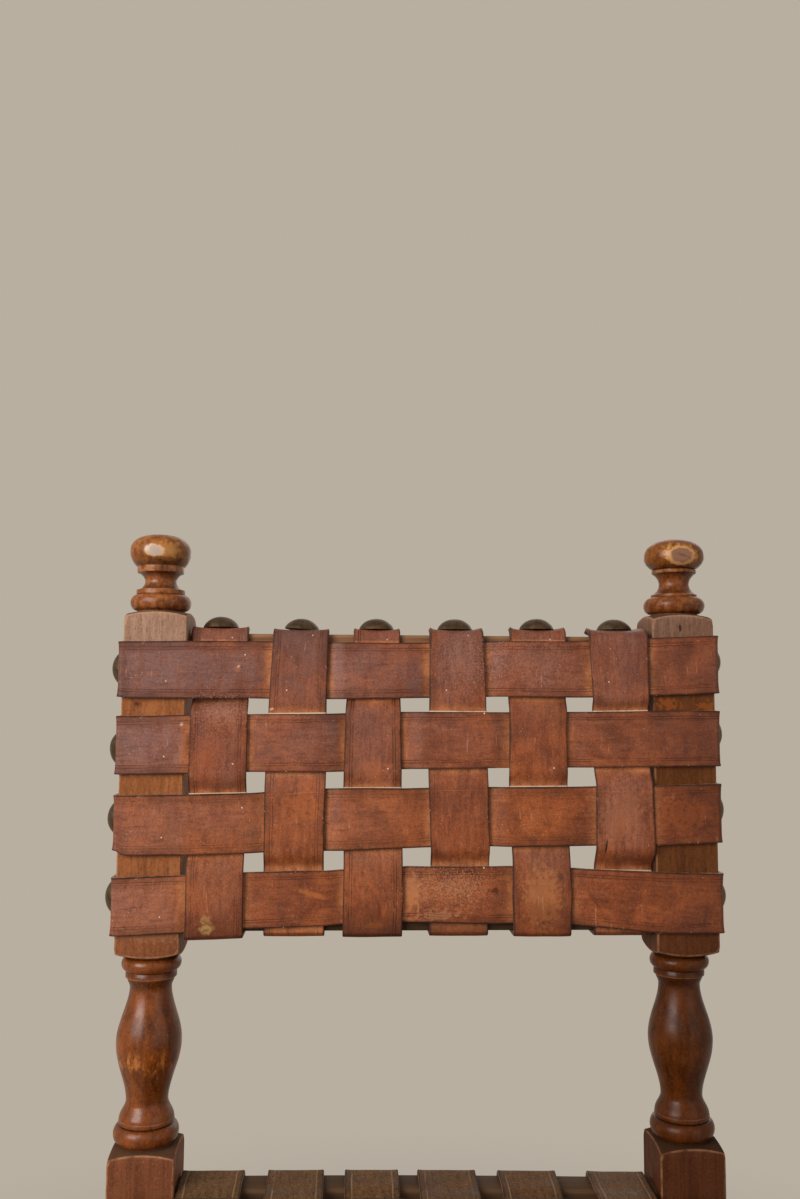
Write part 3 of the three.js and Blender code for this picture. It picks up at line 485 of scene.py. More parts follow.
def fleshLeather(values):
    made, shader = newMaterial("strap_flesh")
    place = objectPlace()
    fuzz = noiseAt(place, 420, 5, 0.7)
    tone = plus(times(fuzz, 0.4), times(noiseAt(place, 28, 4, 0.6), 0.6))
    colour = mixColour(remap(tone, 0.35, 0.65), *values["flesh"])
    dress(shader, colour, 0.88, bumps(fuzz, 0.5, 0.0006), 0.2)
    return made


bronze = dict(dark=(74, 57, 38), light=(102, 80, 56), tarnish=(44, 34, 26), metallic=0.75)


# Dull olive bronze of the nail heads
def nailBronze(values):
    made, shader = newMaterial("nail_bronze")
    place = objectPlace()
    tarnish = noiseAt(place, 150, 5, 0.65)
    colour = layered(mixColour(remap(tarnish, 0.35, 0.68), values["dark"], values["light"]),
                     (remap(noiseAt(place, 420, 3), 0.56, 0.72, 0, 0.5), values["tarnish"]))
    hammered = bumps(noiseAt(place, 150, 3), 0.25, 0.0004)
    dress(shader, colour, remap(tarnish, 0.3, 0.7, 0.38, 0.56), hammered, metallic=values["metallic"])
    return made


seatLook = dict(
    leather, warm=(110, 73, 42), deep=(88, 57, 34), dustAndSheen=(108, 79, 50), band=(92, 62, 38),
    burnishAndShade=(48, 33, 22), dark=(46, 30, 18), light=(150, 116, 82), glow=(112, 76, 48), speck=(136, 108, 84),
    crease=(156, 126, 94), gloss=0.05, grain=1.9, bandShare=(0.3, 0.75), creaseAt=(0.0052,),
    creaseWidth=0.0005,
)
strapCut = (rimLeather(cut), fleshLeather(cut))
# The materials of each slot: a strap has its grain side, its cut rim and its flesh side
finishes = {
    "post_wood": (postWood(wood),),
    "rail_wood": (railWood(rail),),
    "back_leather": (strapLeather("back_leather", leather, leatherMarksAndSheen), *strapCut),
    "seat_leather": (strapLeather("seat_leather", seatLook, []), *strapCut),
    "nail_bronze": (nailBronze(bronze),),
}
print("materials made")


# A finished bmesh as a piece of the chair, which stands for the named solids
def addPiece(bm, name, slot, nodes):
    mesh = bpy.data.meshes.new(name)
    bm.to_mesh(mesh)
    bm.free()
    mesh.shade_smooth()
    for material in finishes[slot]:
        mesh.materials.append(material)
    made = addObject(name, mesh)
    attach(made, "root")
    if nodes:
        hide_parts(*nodes)
    return made


# The same for a closed shape, with edges that stay sharp from an angle in degrees
def finishPiece(bm, name, slot, nodes, sharp):
    bmesh.ops.recalc_face_normals(bm, faces=bm.faces)
    made = addPiece(bm, name, slot, nodes)
    made.data.set_sharp_from_angle(angle=math.radians(sharp))


def pointLayers(bm, *names):
    return {name: bm.verts.layers.float.new(name) for name in names}


def shares(steps, first=0):
    return [step / steps for step in range(first, steps + 1)]


# Eases from 0 to 1 along half a wave
def halfWave(share):
    return 0.5 - 0.5 * math.cos(math.pi * share)


# (cosine, sine) at the steps of a quarter turn: all but the last, or with first=1 all but the first
def quarterTurn(steps, first=0):
    angles = [step / steps * math.pi / 2 for step in range(first, steps + first)]
    return [(math.cos(angle), math.sin(angle)) for angle in angles]


# A turned shape about Z from a profile of (radius, height) points, from the axis to the axis
def spun(profile, sides):
    bm = bmesh.new()
    points = [(0.0, profile[0][1]), *profile, (0.0, profile[-1][1])]
    verts = [bm.verts.new((radius, 0, height)) for radius, height in points]
    edges = [bm.edges.new(pair) for pair in zip(verts, verts[1:])]
    bmesh.ops.spin(bm, geom=verts + edges, cent=(0, 0, 0), axis=(0, 0, 1), angle=math.tau, steps=sides,
                   use_merge=True)
    bmesh.ops.remove_doubles(bm, verts=bm.verts, dist=1e-7)
    return bm


# Parts of a turned outline: a bead bulges, a swell eases from one radius to another, a cove is hollow
# and a fillet is a flat ring whose upper edge is rubbed round
def bead(base, bulge, low, high, steps=12):
    points = []
    for share in shares(steps):
        angle = (share - 0.5) * math.pi
        height = (low + high) / 2 + (high - low) / 2 * math.sin(angle)
        points.append((base + (bulge - base) * math.cos(angle), height))
    return points


def swell(first, last, low, high, steps=14, fullness=1.0):
    points = []
    for share in shares(steps, 1):
        eased = halfWave(share)
        eased = 1 - (1 - eased) ** fullness if last < first else eased ** fullness
        points.append((mix(first, last, eased), mix(low, high, share)))
    return points


def cove(first, waist, last, low, high, steps):
    points = []
    for share in shares(steps):
        depth = math.sin(math.pi * share) ** 0.8
        points.append((mix(first, last, share) * (1 - depth) + waist * depth, mix(low, high, share)))
    return points


def fillet(radius, start, end, half, at, edge, slant):
    return [(radius * half, at(start)), (radius * half, at(end - edge)), ((radius - slant) * half, at(end))]


post = dict(
    stock=48 * mm, backStock=47 * mm, rake=math.radians(4.3), bend=423 * mm, sides=96, easing=0.7 * mm,
    foot=84 * mm, drop=4 * mm, stretcherBlockTop=198 * mm, seatBlockBottom=368 * mm,
    seatBlockTop=473 * mm, balusterLength=145.6 * mm, backBlockLength=251.8 * mm, finial=61.4 * mm,
    frontTop=462 * mm, frontDome=7 * mm, sharp=42, rightLonger=1.4 * mm, longerFrom=0.862, longerOver=0.012,
)
# The turned parts between and below the blocks. Radii are shares of half the stock, heights are
# shares of the part's height, and a group is (radius or radii, low, high).
vase = dict(
    lowTorus=(0.8, 1.01, 0.008, 0.107), lowFillet=(0.86, 0.112, 0.132), neck=0.65, bulge=1.015,
    lowNeck=0.228, belly=0.533, highNeck=0.825, highFillet=(0.8, 0.88, 0.905),
    highTorus=(0.76, 0.935, 0.915, 0.99), edge=0.004, slant=0.01, fullness=0.9, throat=0.06,
)
ball = dict(sole=0.46, soleHigh=0.006, base=0.5, widest=0.9, middle=0.38, neck=0.56, neckAt=0.68, ring=0.72,
            ringLow=0.73, ringHigh=0.78, torus=(0.74, 0.93, 0.81, 0.98))


def vaseOutline(low, high, half, worn, grooves):
    at = lambda share: mix(low, high, share)
    lowNeck, belly, highNeck = [at(vase[name]) for name in ("lowNeck", "belly", "highNeck")]
    neck, bulge = vase["neck"] * half, vase["bulge"] * half
    base, around, start, end = vase["lowTorus"]
    points = bead(base * half, around * half, at(start), at(end))
    grooves.append((at(end), mm, 0.8 * mm))
    radius, start, end = vase["lowFillet"]
    points += fillet(radius, start, end, half, at, vase["edge"], vase["slant"])
    worn.append(at(end))
    points += swell((radius - vase["slant"]) * half, neck, at(end), lowNeck, 12)
    points += swell(neck, bulge, lowNeck, belly, 22, vase["fullness"])
    points += swell(bulge, neck, belly, highNeck, 22, vase["fullness"])
    radius, start, end = vase["highFillet"]
    points += swell(neck, (radius - vase["throat"]) * half, highNeck, at(start - vase["edge"]), 6)
    points += [(radius * half, at(start)), (radius * half, at(end))]
    worn.append(at(start))
    grooves += [(at(start - 0.01), 7 * mm, 0.3 * mm), (at(end), 0.6 * mm, mm)]
    base, around, start, end = vase["highTorus"]
    return points + bead(base * half, around * half, at(start), at(end), 10)


# Domed end of a square block, as rings from its neck out past its corners. Side is 1 at a block's top.
def shoulder(arris, side, half, neck=0.8, drop=None, power=1.5):
    return dict(arris=arris, side=side, half=half, neck=neck * half, drop=drop or post["drop"],
                power=power, corner=half * math.sqrt(2))


def shoulderShare(end, radius):
    return (radius - end["neck"]) / (end["corner"] - end["neck"])


def shoulderHeight(end, radius):
    fallen = max(shoulderShare(end, radius), 0) ** end["power"]
    return end["arris"] + end["side"] * end["drop"] * (1 - fallen)


def shoulderOutline(end):
    radii = [mix(end["neck"], end["corner"], share) for share in shares(3)]
    points = [(radius, shoulderHeight(end, radius)) for radius in radii]
    return points[::-1] if end["side"] > 0 else points


def blockOutline(low, high, half, steps):
    inset = 4 * mm
    return [(half * math.sqrt(2), mix(low + inset, high - inset, share)) for share in shares(steps)]


def footOutline(half, height):
    at = lambda share: height * share
    base, widest, neck, ring = [ball[name] * half for name in ("base", "widest", "neck", "ring")]
    points = [(ball["sole"] * half, 0.0), (base, at(ball["soleHigh"]))]
    points += swell(base, widest, at(ball["soleHigh"]), at(ball["middle"]))
    points += swell(widest, neck, at(ball["middle"]), at(ball["neckAt"]))
    points += [(ring, at(ball["ringLow"])), (ring, at(ball["ringHigh"]))]
    inner, around, start, end = ball["torus"]
    return points + bead(inner * half, around * half, at(start), at(end), 10)


# The two finials differ a little, as hand turning does. Radii are shares of half the stock and
# heights are shares of the finial's height; the knobs are worn flat in front.
finials = dict(
    left=dict(torus=(0.76, 1.0, 0.02, 0.228), shelf=(0.8, 0.232, 0.29),
              cove=(0.68, 0.515, 0.69, 0.296, 0.502), ring=(0.77, 0.508, 0.598),
              knob=(1.0, 0.775, 0.3, 0.225), flat=0.97),
    right=dict(torus=(0.76, 1.02, 0.02, 0.24), shelf=(0.77, 0.244, 0.275),
               cove=(0.71, 0.5, 0.69, 0.281, 0.545), ring=(0.745, 0.55, 0.602),
               knob=(1.005, 0.757, 0.215, 0.243), flat=0.95),
    tip=0.12,
)


def finialOutline(low, height, half, worn, grooves, shape):
    at = lambda share: low + height * share
    base, around, start, end = shape["torus"]
    points = bead(base * half, around * half, at(start), at(end), 14)
    radius, start, end = shape["shelf"]
    points += fillet(radius, start, end, half, at, 0.006, 0.02)
    worn.append(at(end))
    first, waist, last, start, end = shape["cove"]
    points += cove(first * half, waist * half, last * half, at(start), at(end), 14)
    grooves += [(at(start), 0.4 * mm, 3.4 * mm), (at(end), 3 * mm, 0.4 * mm)]
    radius, start, end = shape["ring"]
    points += [((radius - 0.015) * half, at(start)), (radius * half, at(start + 0.01)),
               (radius * half, at(end - 0.012))]
    worn += [at(start + 0.008), at(end - 0.006)]
    grooves.append((at(end), 0.3 * mm, 4 * mm))
    bulge, middle, below, above = shape["knob"]
    lowest = -math.degrees(math.asin((middle - end) / below))
    for share in shares(10):
        angle = math.radians(mix(lowest, 0, share))
        points.append((bulge * half * math.cos(angle), at(middle + below * math.sin(angle))))
    for _, rise in quarterTurn(15)[1:]:
        points.append((bulge * half * (1 - rise ** 2.5) ** 0.4, at(middle + above * rise)))
    return points + [(finials["tip"] * half, at(1.0))]


tiny = 1e-6


# Cuts a turned shape down to its square stock: rings beyond the stock lie on its faces, and the
# domed ends of the blocks keep their curve where they meet the faces.
def squareOff(bm, ends, halfAt):
    corners, arrises = set(), set()
    for vert in bm.verts:
        radius = math.hypot(vert.co.x, vert.co.y)
        if radius < tiny:
            continue
        x, y = vert.co.x / radius, vert.co.y / radius
        half = halfAt(vert.co.z)
        toFace = max(abs(x), abs(y))
        for end in ends:
            low, high = sorted((end["arris"], end["arris"] + end["side"] * end["drop"]))
            if low - tiny <= vert.co.z <= high + tiny and radius >= end["neck"] - tiny:
                share = shoulderShare(end, radius)
                if share > 0.999:
                    arrises.add(vert)
                radius = mix(end["neck"], end["half"] / toFace, share)
                vert.co.z = shoulderHeight(end, radius)
                break
        if radius >= half / toFace - tiny and radius > 1.1 * half:
            radius = half / toFace
            if abs(abs(x) - abs(y)) < 1e-4:
                corners.add(vert)
        vert.co.x, vert.co.y = x * radius, y * radius
    return corners, arrises


def easeArrises(bm, groups, width):
    edges = [edge for edge in bm.edges if any(all(v in group for v in edge.verts) for group in groups)]
    bmesh.ops.bevel(bm, geom=edges, offset=width, offset_type="OFFSET", segments=2, profile=0.5,
                    affect="EDGES", clamp_overlap=True, material=-1)


# The value at a place between stations, eased a little over them
def between(stations, values, place, ease=9 * mm):
    shifts = (-1, -0.5, 0, 0.5, 1)
    total = 0.0
    for shift in shifts:
        at = min(max(place + shift * ease, stations[0]), stations[-1])
        index = max(i for i in range(len(stations) - 1) if stations[i] <= at)
        share = (at - stations[index]) / (stations[index + 1] - stations[index])
        total += mix(values[index], values[index + 1], share)
    return total / len(shifts)


# Turned parts are not quite central on their square stock: sideways shifts in mm at rising heights
sway = dict(
    heights=[0.45, 0.5, 0.6, 0.62, 0.87, 0.9, 0.935],
    left=[-0.8, -0.7, 0, 0, 0, -0.9, -1.8],
    right=[-0.6, -0.8, -1.2, 0, 0, 0.5, 1.1],
)


# Notes on every point of a post where its wood was turned, rubbed, left dusty or given painted shade. A line
# is worn at each height of "worn", and "grooves" are (height, reach of the painted shade below, reach
# above).
def noteWood(bm, ends, blocks, worn, grooves, halfAt, shade, flat):
    layers = pointLayers(bm, "turned", "wear", "dust", "grooveShade", "shade")
    grain = bm.verts.layers.float_vector.new("grain")
    for vert in bm.verts:
        x, y, z = vert.co
        half, radius = halfAt(z), math.hypot(x, y)
        onFace = max(abs(x), abs(y)) > half - 0.3 * mm
        inBlock = any(low - 1.5 * mm < z < high + 1.5 * mm for low, high in blocks)
        dust = wear = grooveShade = 0.0
        for end in ends:
            arris, side = end["arris"], end["side"]
            low, high = sorted((arris - side * mm, arris + side * (end["drop"] + 0.2 * mm)))
            if low < z < high and radius > end["neck"] - 0.3 * mm:
                inBlock = True
                if not onFace:
                    dust = 1.0
                elif abs(z - shoulderHeight(end, radius)) < 1.3 * mm:
                    wear = 1.0
        if inBlock and onFace:
            wear = max(wear, smooth(((abs(x) + abs(y)) / half - 1.88) / 0.06))
        if not inBlock:
            wear = max([wear] + [hump(z - line, 0.8 * mm) for line in worn])
            # Painted shade at each groove and under the knobs
            grooveShade = max(hump(z - line, above if z > line else below) for line, below, above in grooves)
        notes = dict(turned=0.0 if inBlock else 1.0, wear=wear, dust=dust, grooveShade=grooveShade, shade=shade)
        for key, value in notes.items():
            vert[layers[key]] = value
        if flat and z > ends[-1]["arris"] + 30 * mm and -y > flat * half:
            vert.co.y = mix(-flat * half, y, 0.12)
        vert[grain] = (x, y, z)


def bendAt(bm, height, angle):
    for vert in bm.verts:
        share = smooth((vert.co.z - height + 3 * mm) / (6 * mm))
        if share <= 0:
            continue
        turn = angle * share
        y, z = vert.co.y, vert.co.z - height
        vert.co.y = y * math.cos(turn) + z * math.sin(turn)
        vert.co.z = height + z * math.cos(turn) - y * math.sin(turn)


# Outline and block ends of a post or leg up to its seat block, with worn lines and painted shade in grooves
def legOutline(half, worn, grooves):
    places = (post["foot"] + post["drop"], post["stretcherBlockTop"], post["seatBlockBottom"])
    ends = [shoulder(arris, side, half) for arris, side in zip(places, (-1, 1, -1))]
    low, top, seatLow = [end["arris"] for end in ends]
    points = footOutline(half, post["foot"]) + shoulderOutline(ends[0])
    points += blockOutline(low, top, half, 6) + shoulderOutline(ends[1])
    points += vaseOutline(top + post["drop"], seatLow - post["drop"], half, worn, grooves)
    return points + shoulderOutline(ends[2]), ends, [(low, top)]


# The right side of the chair is the shaded one
def turnedPost(side, points, ends, blocks, worn, grooves, halfAt, flat=0.0):
    bm = spun(points, post["sides"])
    easeArrises(bm, squareOff(bm, ends, halfAt), post["easing"])
    noteWood(bm, ends, blocks, worn, grooves, halfAt, 1.0 if side > 0 else 0.0, flat)
    return bm


def backPost(side, name):
    half, backHalf = post["stock"] / 2, post["backStock"] / 2
    worn, grooves = [], []
    top, drop = post["seatBlockTop"], post["drop"]
    low = top + post["balusterLength"]
    high = low + post["backBlockLength"]
    points, ends, blocks = legOutline(half, worn, grooves)
    seatLow = ends[-1]["arris"]
    added = [shoulder(top, 1, half), shoulder(low, -1, backHalf), shoulder(high, 1, backHalf)]
    points += blockOutline(seatLow, top, half, 8) + shoulderOutline(added[0])
    points += vaseOutline(top + drop, low - drop, half, worn, grooves)
    points += shoulderOutline(added[1]) + blockOutline(low, high, backHalf, 24) + shoulderOutline(added[2])
    shape = finials[name]
    points += finialOutline(high + drop, post["finial"], backHalf, worn, grooves, shape)
    halfAt = lambda height: half if height < low - post["balusterLength"] / 6 else backHalf
    blocks += [(seatLow, top), (low, high)]
    bm = turnedPost(side, points, ends + added, blocks, worn, grooves, halfAt, shape["flat"])
    turned = bm.verts.layers.float["turned"]
    for vert in bm.verts:
        z = vert.co.z
        vert.co.x += between(sway["heights"], sway[name], z, 3 * mm) * mm * vert[turned]
        if side > 0:
            vert.co.z += post["rightLonger"] * smooth((z - post["longerFrom"]) / post["longerOver"])
    bendAt(bm, post["bend"], post["rake"])
    bmesh.ops.translate(bm, verts=bm.verts, vec=feet[f"foot_rear_{name}"])
    finishPiece(bm, f"post_{name}", "post_wood", [f"back_post_{name}"], post["sharp"])


def frontLeg(side, name):
    half, worn, grooves = post["stock"] / 2, [], []
    points, ends, blocks = legOutline(half, worn, grooves)
    seatLow, arris = ends[-1]["arris"], post["frontTop"] - post["frontDome"]
    dome = shoulder(arris, 1, half, neck=0.02, drop=post["frontDome"], power=1.8)
    radii = [mix(dome["corner"], dome["neck"], share) for share in shares(8)]
    points += blockOutline(seatLow, arris, half, 8)
    points += [(radius, shoulderHeight(dome, radius)) for radius in radii]
    blocks += [(seatLow, arris)]
    bm = turnedPost(side, points, [*ends, dome], blocks, worn, grooves, lambda height: half)
    bmesh.ops.translate(bm, verts=bm.verts, vec=feet[f"foot_front_{name}"])
    finishPiece(bm, f"leg_{name}", "post_wood", [f"front_leg_{name}"], post["sharp"])


for side, name in ((-1, "left"), (1, "right")):
    backPost(side, name)
    frontLeg(side, name)
print("posts and legs turned")

rails = dict(thickness=24 * mm, seatHeight=42 * mm, backHeight=40 * mm, easing=3 * mm, seatTop=443 * mm,
             topTop=435.1 * mm, bottomLow=209.5 * mm, play=0.6 * mm, edge=2.5 * mm, worn=0.15 * mm,
             liftAt=(-0.2, -0.1, 0, 0.1, 0.2), lift=(5.2, 4.6, 3.6, 1.6, -0.6))
postX, rearY = feet["foot_rear_right"].x, feet["foot_rear_right"].y
frontY = feet["foot_front_right"].y
midY, halfDepth = (rearY + frontY) / 2, (rearY - frontY) / 2
backFrame = Matrix.Translation((0, rearY, post["bend"])) @ Matrix.Rotation(-post["rake"], 4, "X")
seatClearX = 2 * postX - post["stock"]
seatClearY = rearY - frontY - post["stock"]
alongX = Matrix.Rotation(math.pi / 2, 4, "Y")
alongY = Matrix.Rotation(-math.pi / 2, 4, "X")


# The rear of the seat is not quite level: how much higher it is at a place
def seatLift(x, y):
    share = smooth((y - midY) / (rearY - midY))
    return share * between(rails["liftAt"], rails["lift"], x, 30 * mm) * mm


# A rail with eased, slightly uneven edges, made along Z and laid into place
def railPiece(name, node, clear, height, place):
    length = clear - rails["play"]
    bm = bmesh.new()
    isLong = lambda first, last: abs(first.co.z - last.co.z) > length / 2
    longEdges = lambda: [edge for edge in bm.edges if isLong(*edge.verts)]
    bmesh.ops.create_cube(bm, size=1)
    bmesh.ops.scale(bm, verts=bm.verts, vec=(rails["thickness"], height, length))
    bmesh.ops.bevel(bm, geom=longEdges(), offset=rails["easing"], offset_type="OFFSET", segments=3,
                    profile=0.5, affect="EDGES", material=-1)
    bmesh.ops.subdivide_edges(bm, edges=longEdges(), cuts=40, use_grid_fill=True)
    grain = bm.verts.layers.float_vector.new("grain")
    wear = bm.verts.layers.float.new("wear")
    for vert in bm.verts:
        vert[grain] = vert.co + Vector(place.translation) * 3
        nearSide = abs(abs(vert.co.x) - rails["thickness"] / 2) < rails["edge"]
        nearTop = abs(abs(vert.co.y) - height / 2) < rails["edge"]
        vert[wear] = 1.0 if nearSide and nearTop else 0.0
        wobble = noise.noise(vert.co * 30 + place.translation * 9) * 0.25 * mm
        outward = 1 if vert.co.x > 0 else -1
        vert.co.x += wobble * outward - rails["worn"] * outward
    bmesh.ops.transform(bm, matrix=place, verts=bm.verts)
    if node.startswith("seat"):
        for vert in bm.verts:
            vert.co.z += seatLift(vert.co.x, vert.co.y)
    finishPiece(bm, f"rail_{name}", "rail_wood", [node], 35)


def layRails():
    middle = rails["seatTop"] - rails["seatHeight"] / 2
    upright = alongX @ Matrix.Rotation(math.pi / 2, 4, "Z")
    for name, clear, x, y, turn in (
            ("front", seatClearX, 0, frontY, upright), ("rear", seatClearX, 0, rearY, upright),
            ("left", seatClearY, -postX, midY, alongY), ("right", seatClearY, postX, midY, alongY)):
        place = Matrix.Translation((x, y, middle)) @ turn
        railPiece(name, f"seat_rail_{name}", clear, rails["seatHeight"], place)
    half = rails["backHeight"] / 2
    for name, height in (("top", rails["topTop"] - half), ("bottom", rails["bottomLow"] + half)):
        place = backFrame @ Matrix.Translation((0, 0, height)) @ upright
        railPiece(name, f"back_{name}_rail", 2 * postX - post["backStock"], rails["backHeight"], place)


layRails()
print("rails laid")

# "raised" and "ears" are the height of each upright strap over the top rail and the curl of its edges
# there, in mm. "flare" widens single upright straps at their foot, and "lifted" raises the lower edge
# of single cross straps at their left end. "dustDrop" lowers the dust on a row's upper edge, in mm.
weave = dict(
    width=43.5 * mm, thickness=3.2 * mm, gap=0.3 * mm, edgeGap=5.6 * mm, sideGap=3.25 * mm, columns=6,
    rows=4, endReach=16.5 * mm, panelFront=18 * mm, slack=1.2 * mm, bendRadius=2.4 * mm, across=14,
    upturn=36 * mm, earShare=0.25, fadeOver=14 * mm, bulge=0.135 * mm, rimEase=0.7 * mm, taper=0.2,
    drift=0.5 * mm, cockle=0.18 * mm, diveReach=4.2 * mm, turnedShade=0.3, dustDrop=(0, 0, 0, 0.9),
    flare={4: 1.2 * mm, 2: 0.5 * mm}, flareAt=0.236, flareReach=0.014, lifted={2: 4 * mm, 0: 0.8 * mm},
    liftedFrom=221 * mm, raised=(0.9, 0, 0.4, 0.7, 1.4, 1.5), ears=(1.5, 1.0, 1.4, 2.4, 2.6, 2.4),
)
# How far each strap's two edges are from where even spacing would put them, in mm. Columns are
# (left, right) at rising heights, rows are (lower, upper) from left to right.
columnStations = [share * mm for share in (215.8, 263.8, 323.7, 379.9, 430.6)]
columnEdges = [
    [(1.3, -0.1), (1.2, -0.3), (1.0, 0.8), (1.6, 0.8), (-0.4, -0.4)],
    [(-3.2, -1.1), (-4.1, -2.4), (-3.8, -0.9), (-2.4, -1.6), (0.4, -0.4)],
    [(-5.8, -4.5), (-5.6, -4.1), (-6.2, -5.5), (-5.5, -6.7), (0.7, -6.7)],
    [(-2.3, -1.0), (-1.0, 0.2), (-3.5, -0.9), (-2.9, -2.2), (-2.8, -4.3)],
    [(-0.2, 0.3), (-0.5, 0.2), (-3.4, -1.7), (-3.4, -1.9), (-1.9, -1.1)],
    [(0.3, 1.8), (1.0, 1.6), (1.1, 0.1), (0.3, -1.4), (-3.2, -2.0)],
]
rowStations = [share * mm for share in (-228.2, -179.4, -124.3, -65, -4.7, 58.4, 122.6, 177.1, 229.6)]
rowEdges = [
    [(-1.4, -1.9), (-1.2, -1.2), (-1.0, -0.5), (-1.3, -1.1), (0, -0.7), (1.5, 1.0), (0.9, 1.6),
     (2.8, 3.7), (5.3, 6.6)],
    [(-1.7, -1.3), (-0.7, -0.5), (0.5, 0.5), (0.4, 1.5), (3.2, 3.2), (4.2, 2.9), (4.4, 3.5),
     (5.7, 4.9), (6.1, 5.3)],
    [(-4.5, -3.1), (-4, -2.8), (-3.2, -1.9), (-1.7, 1.7), (0.7, 2), (2.1, 2.9), (2.1, 3.6),
     (3.6, 4.8), (5.7, 6.4)],
    [(-5.8, -7), (-3.8, -5.2), (-1.7, -4), (0.5, -3), (2.3, -0.1), (1, 0.3), (-0.3, -1.9),
     (-4.7, -2.8), (-5, -3.9)],
]
# Looks of each strap at rising shares of its length: dusk (dust and painted sheen, 0 to 1), tone (-1 dark
# to 1 light, its own tone with painted light and shade in it), creases
columnLook = [
    dict(dustAndSheen=(0.7, 0.8, 0.5, 0.6, 0.45, 0.1), tone=(-0.08, -0.08, 0, 0.45, 0.3, -0.6), lines=0.7),
    dict(dustAndSheen=(1, 0.75, 0.3, 0.05, 0, 0), tone=(-0.36, -0.06, 0.05, 0.2, 0.05, -0.15), lines=0.7),
    dict(dustAndSheen=(0.7, 0.6, 0.45, 0.5, 0.2, 0.1), tone=(-0.08, 0.07, 0.08, 0.36, 0.1, -1.0), lines=1.0),
    dict(dustAndSheen=(0.85, 0.5, 0.3, 0.2, 0.15, 0.1), tone=(-0.16, 0.08, 0, 0, -0.1, -0.4), lines=0.2),
    dict(dustAndSheen=(0.8, 0.4, 0.1, 0.5, 0.15, 0), tone=(-0.14, -0.1, -0.02, 0.25, 0.05, -0.4), lines=0.2),
    dict(dustAndSheen=(1, 1, 0.65, 0.4, 0.2, 0.1), tone=(-0.18, -0.04, 0.06, 0.04, -0.06, -0.22), lines=0.3),
]
rowLook = [
    dict(dustAndSheen=(1, 1, 0.8, 0.6, 0.5, 0.5), tone=(-0.12, 0.03, 0.04, -0.04, -0.2, -0.3), lines=0.8),
    dict(dustAndSheen=(1, 0.8, 0.6, 0.45, 0.35, 0.3), tone=(0.18, -0.04, -0.06, -0.14, -0.2, -0.45), lines=0.8),
    dict(dustAndSheen=(0.55, 0.35, 0.15, 0, 0, 0), tone=(0.34, 0.26, 0.18, 0.1, -0.18, -0.7), lines=0.4),
    dict(dustAndSheen=(0.6, 0.15, 0.15, 0.05, 0, 0.1), tone=(0.62, -0.16, 0, -0.06, -0.02, -0.45), lines=0.8),
]
lookStations = (0, 0.25, 0.5, 0.75, 0.88, 1)
# Distance between a strap's rows, the painted shade where it bends away, and its edges' curl
pitches = dict(end=2.2 * mm, upright=1.7 * mm, cross=1.9 * mm, flap=2.5 * mm, seat=2.4 * mm)
darkening = dict(end=0.1, top=0.08, low=0.1, under=0.15, left=0.34, right=0.12, seatFlap=0.2, seatBend=0.1)
curls = dict(cupped=-0.25 * mm, low=-0.2 * mm, upturned=0.5 * mm, flap=0.9 * mm, bend=0.7 * mm,
             seatFlap=0.5 * mm, seatBend=0.4 * mm, seat=0.1 * mm)
noCrevice = (9.0, 9.0)

backHalf = post["backStock"] / 2
clearHalf = postX - backHalf
outerColumn = clearHalf - weave["width"] / 2 - weave["sideGap"]
columnPitch = 2 * outerColumn / (weave["columns"] - 1)
topRow = rails["topTop"] - weave["width"] / 2 - weave["edgeGap"]
bottomRow = rails["bottomLow"] + weave["width"] / 2 + weave["edgeGap"]
rowPitch = (topRow - bottomRow) / (weave["rows"] - 1)
crossingHalf = weave["width"] / 2 + 2 * weave["gap"]
layerStep = weave["thickness"] + weave["gap"]
layerOut = weave["gap"] + weave["thickness"] / 2
railLayer, postLayer = rails["thickness"] / 2 + layerOut, backHalf + layerOut
underLayer = rails["bottomLow"] - layerOut
nailSeat = 2 * weave["gap"] + weave["thickness"]


# The two edges of a strap at a place along it, from its middle
def edgesAt(stations, pairs, middle, place):
    shifts = [between(stations, [pair[end] for pair in pairs], place) for end in (0, 1)]
    return middle - weave["width"] / 2 + shifts[0] * mm, middle + weave["width"] / 2 + shifts[1] * mm


def columnEnds(column, height):
    return edgesAt(columnStations, columnEdges[column], -outerColumn + column * columnPitch, height)


def columnX(column, height):
    return sum(columnEnds(column, height)) / 2


def rowEnds(row, x):
    return edgesAt(rowStations, rowEdges[row], topRow - row * rowPitch, x)


def rowHeight(row, x):
    return sum(rowEnds(row, x)) / 2


def lookAt(look, share, darker=0.0, dive=0.0, crevice=noCrevice):
    dustAndSheen, tone = (between(lookStations, look[key], share, 0.06) for key in ("dustAndSheen", "tone"))
    return dict(dustAndSheen=dustAndSheen, tone=tone - darker, lines=look["lines"], dive=dive, crevice=crevice)


def rowInFront(row, column):
    return (row + column) % 2 == 0


def onRail(row):
    return row in (0, weave["rows"] - 1)


# Depth of a row towards the front where it crosses a column, at the column's outer and inner side
def rowDepths(row, column):
    behind = railLayer if onRail(row) else weave["panelFront"] - layerStep / 2
    depth = behind + layerStep if rowInFront(row, column) else behind
    if 0 < column < weave["columns"] - 1:
        return depth, depth
    if rowInFront(row, column):
        return postLayer - weave["slack"] / 3, depth
    return postLayer - weave["slack"], depth + (layerStep if onRail(row) else layerStep * 3 / 4)


def columnDepths(row, column):
    outer, inner = rowDepths(row, column)
    if not rowInFront(row, column):
        return outer + layerStep, inner + layerStep
    if onRail(row):
        return railLayer, railLayer
    return outer - layerStep, inner - layerStep


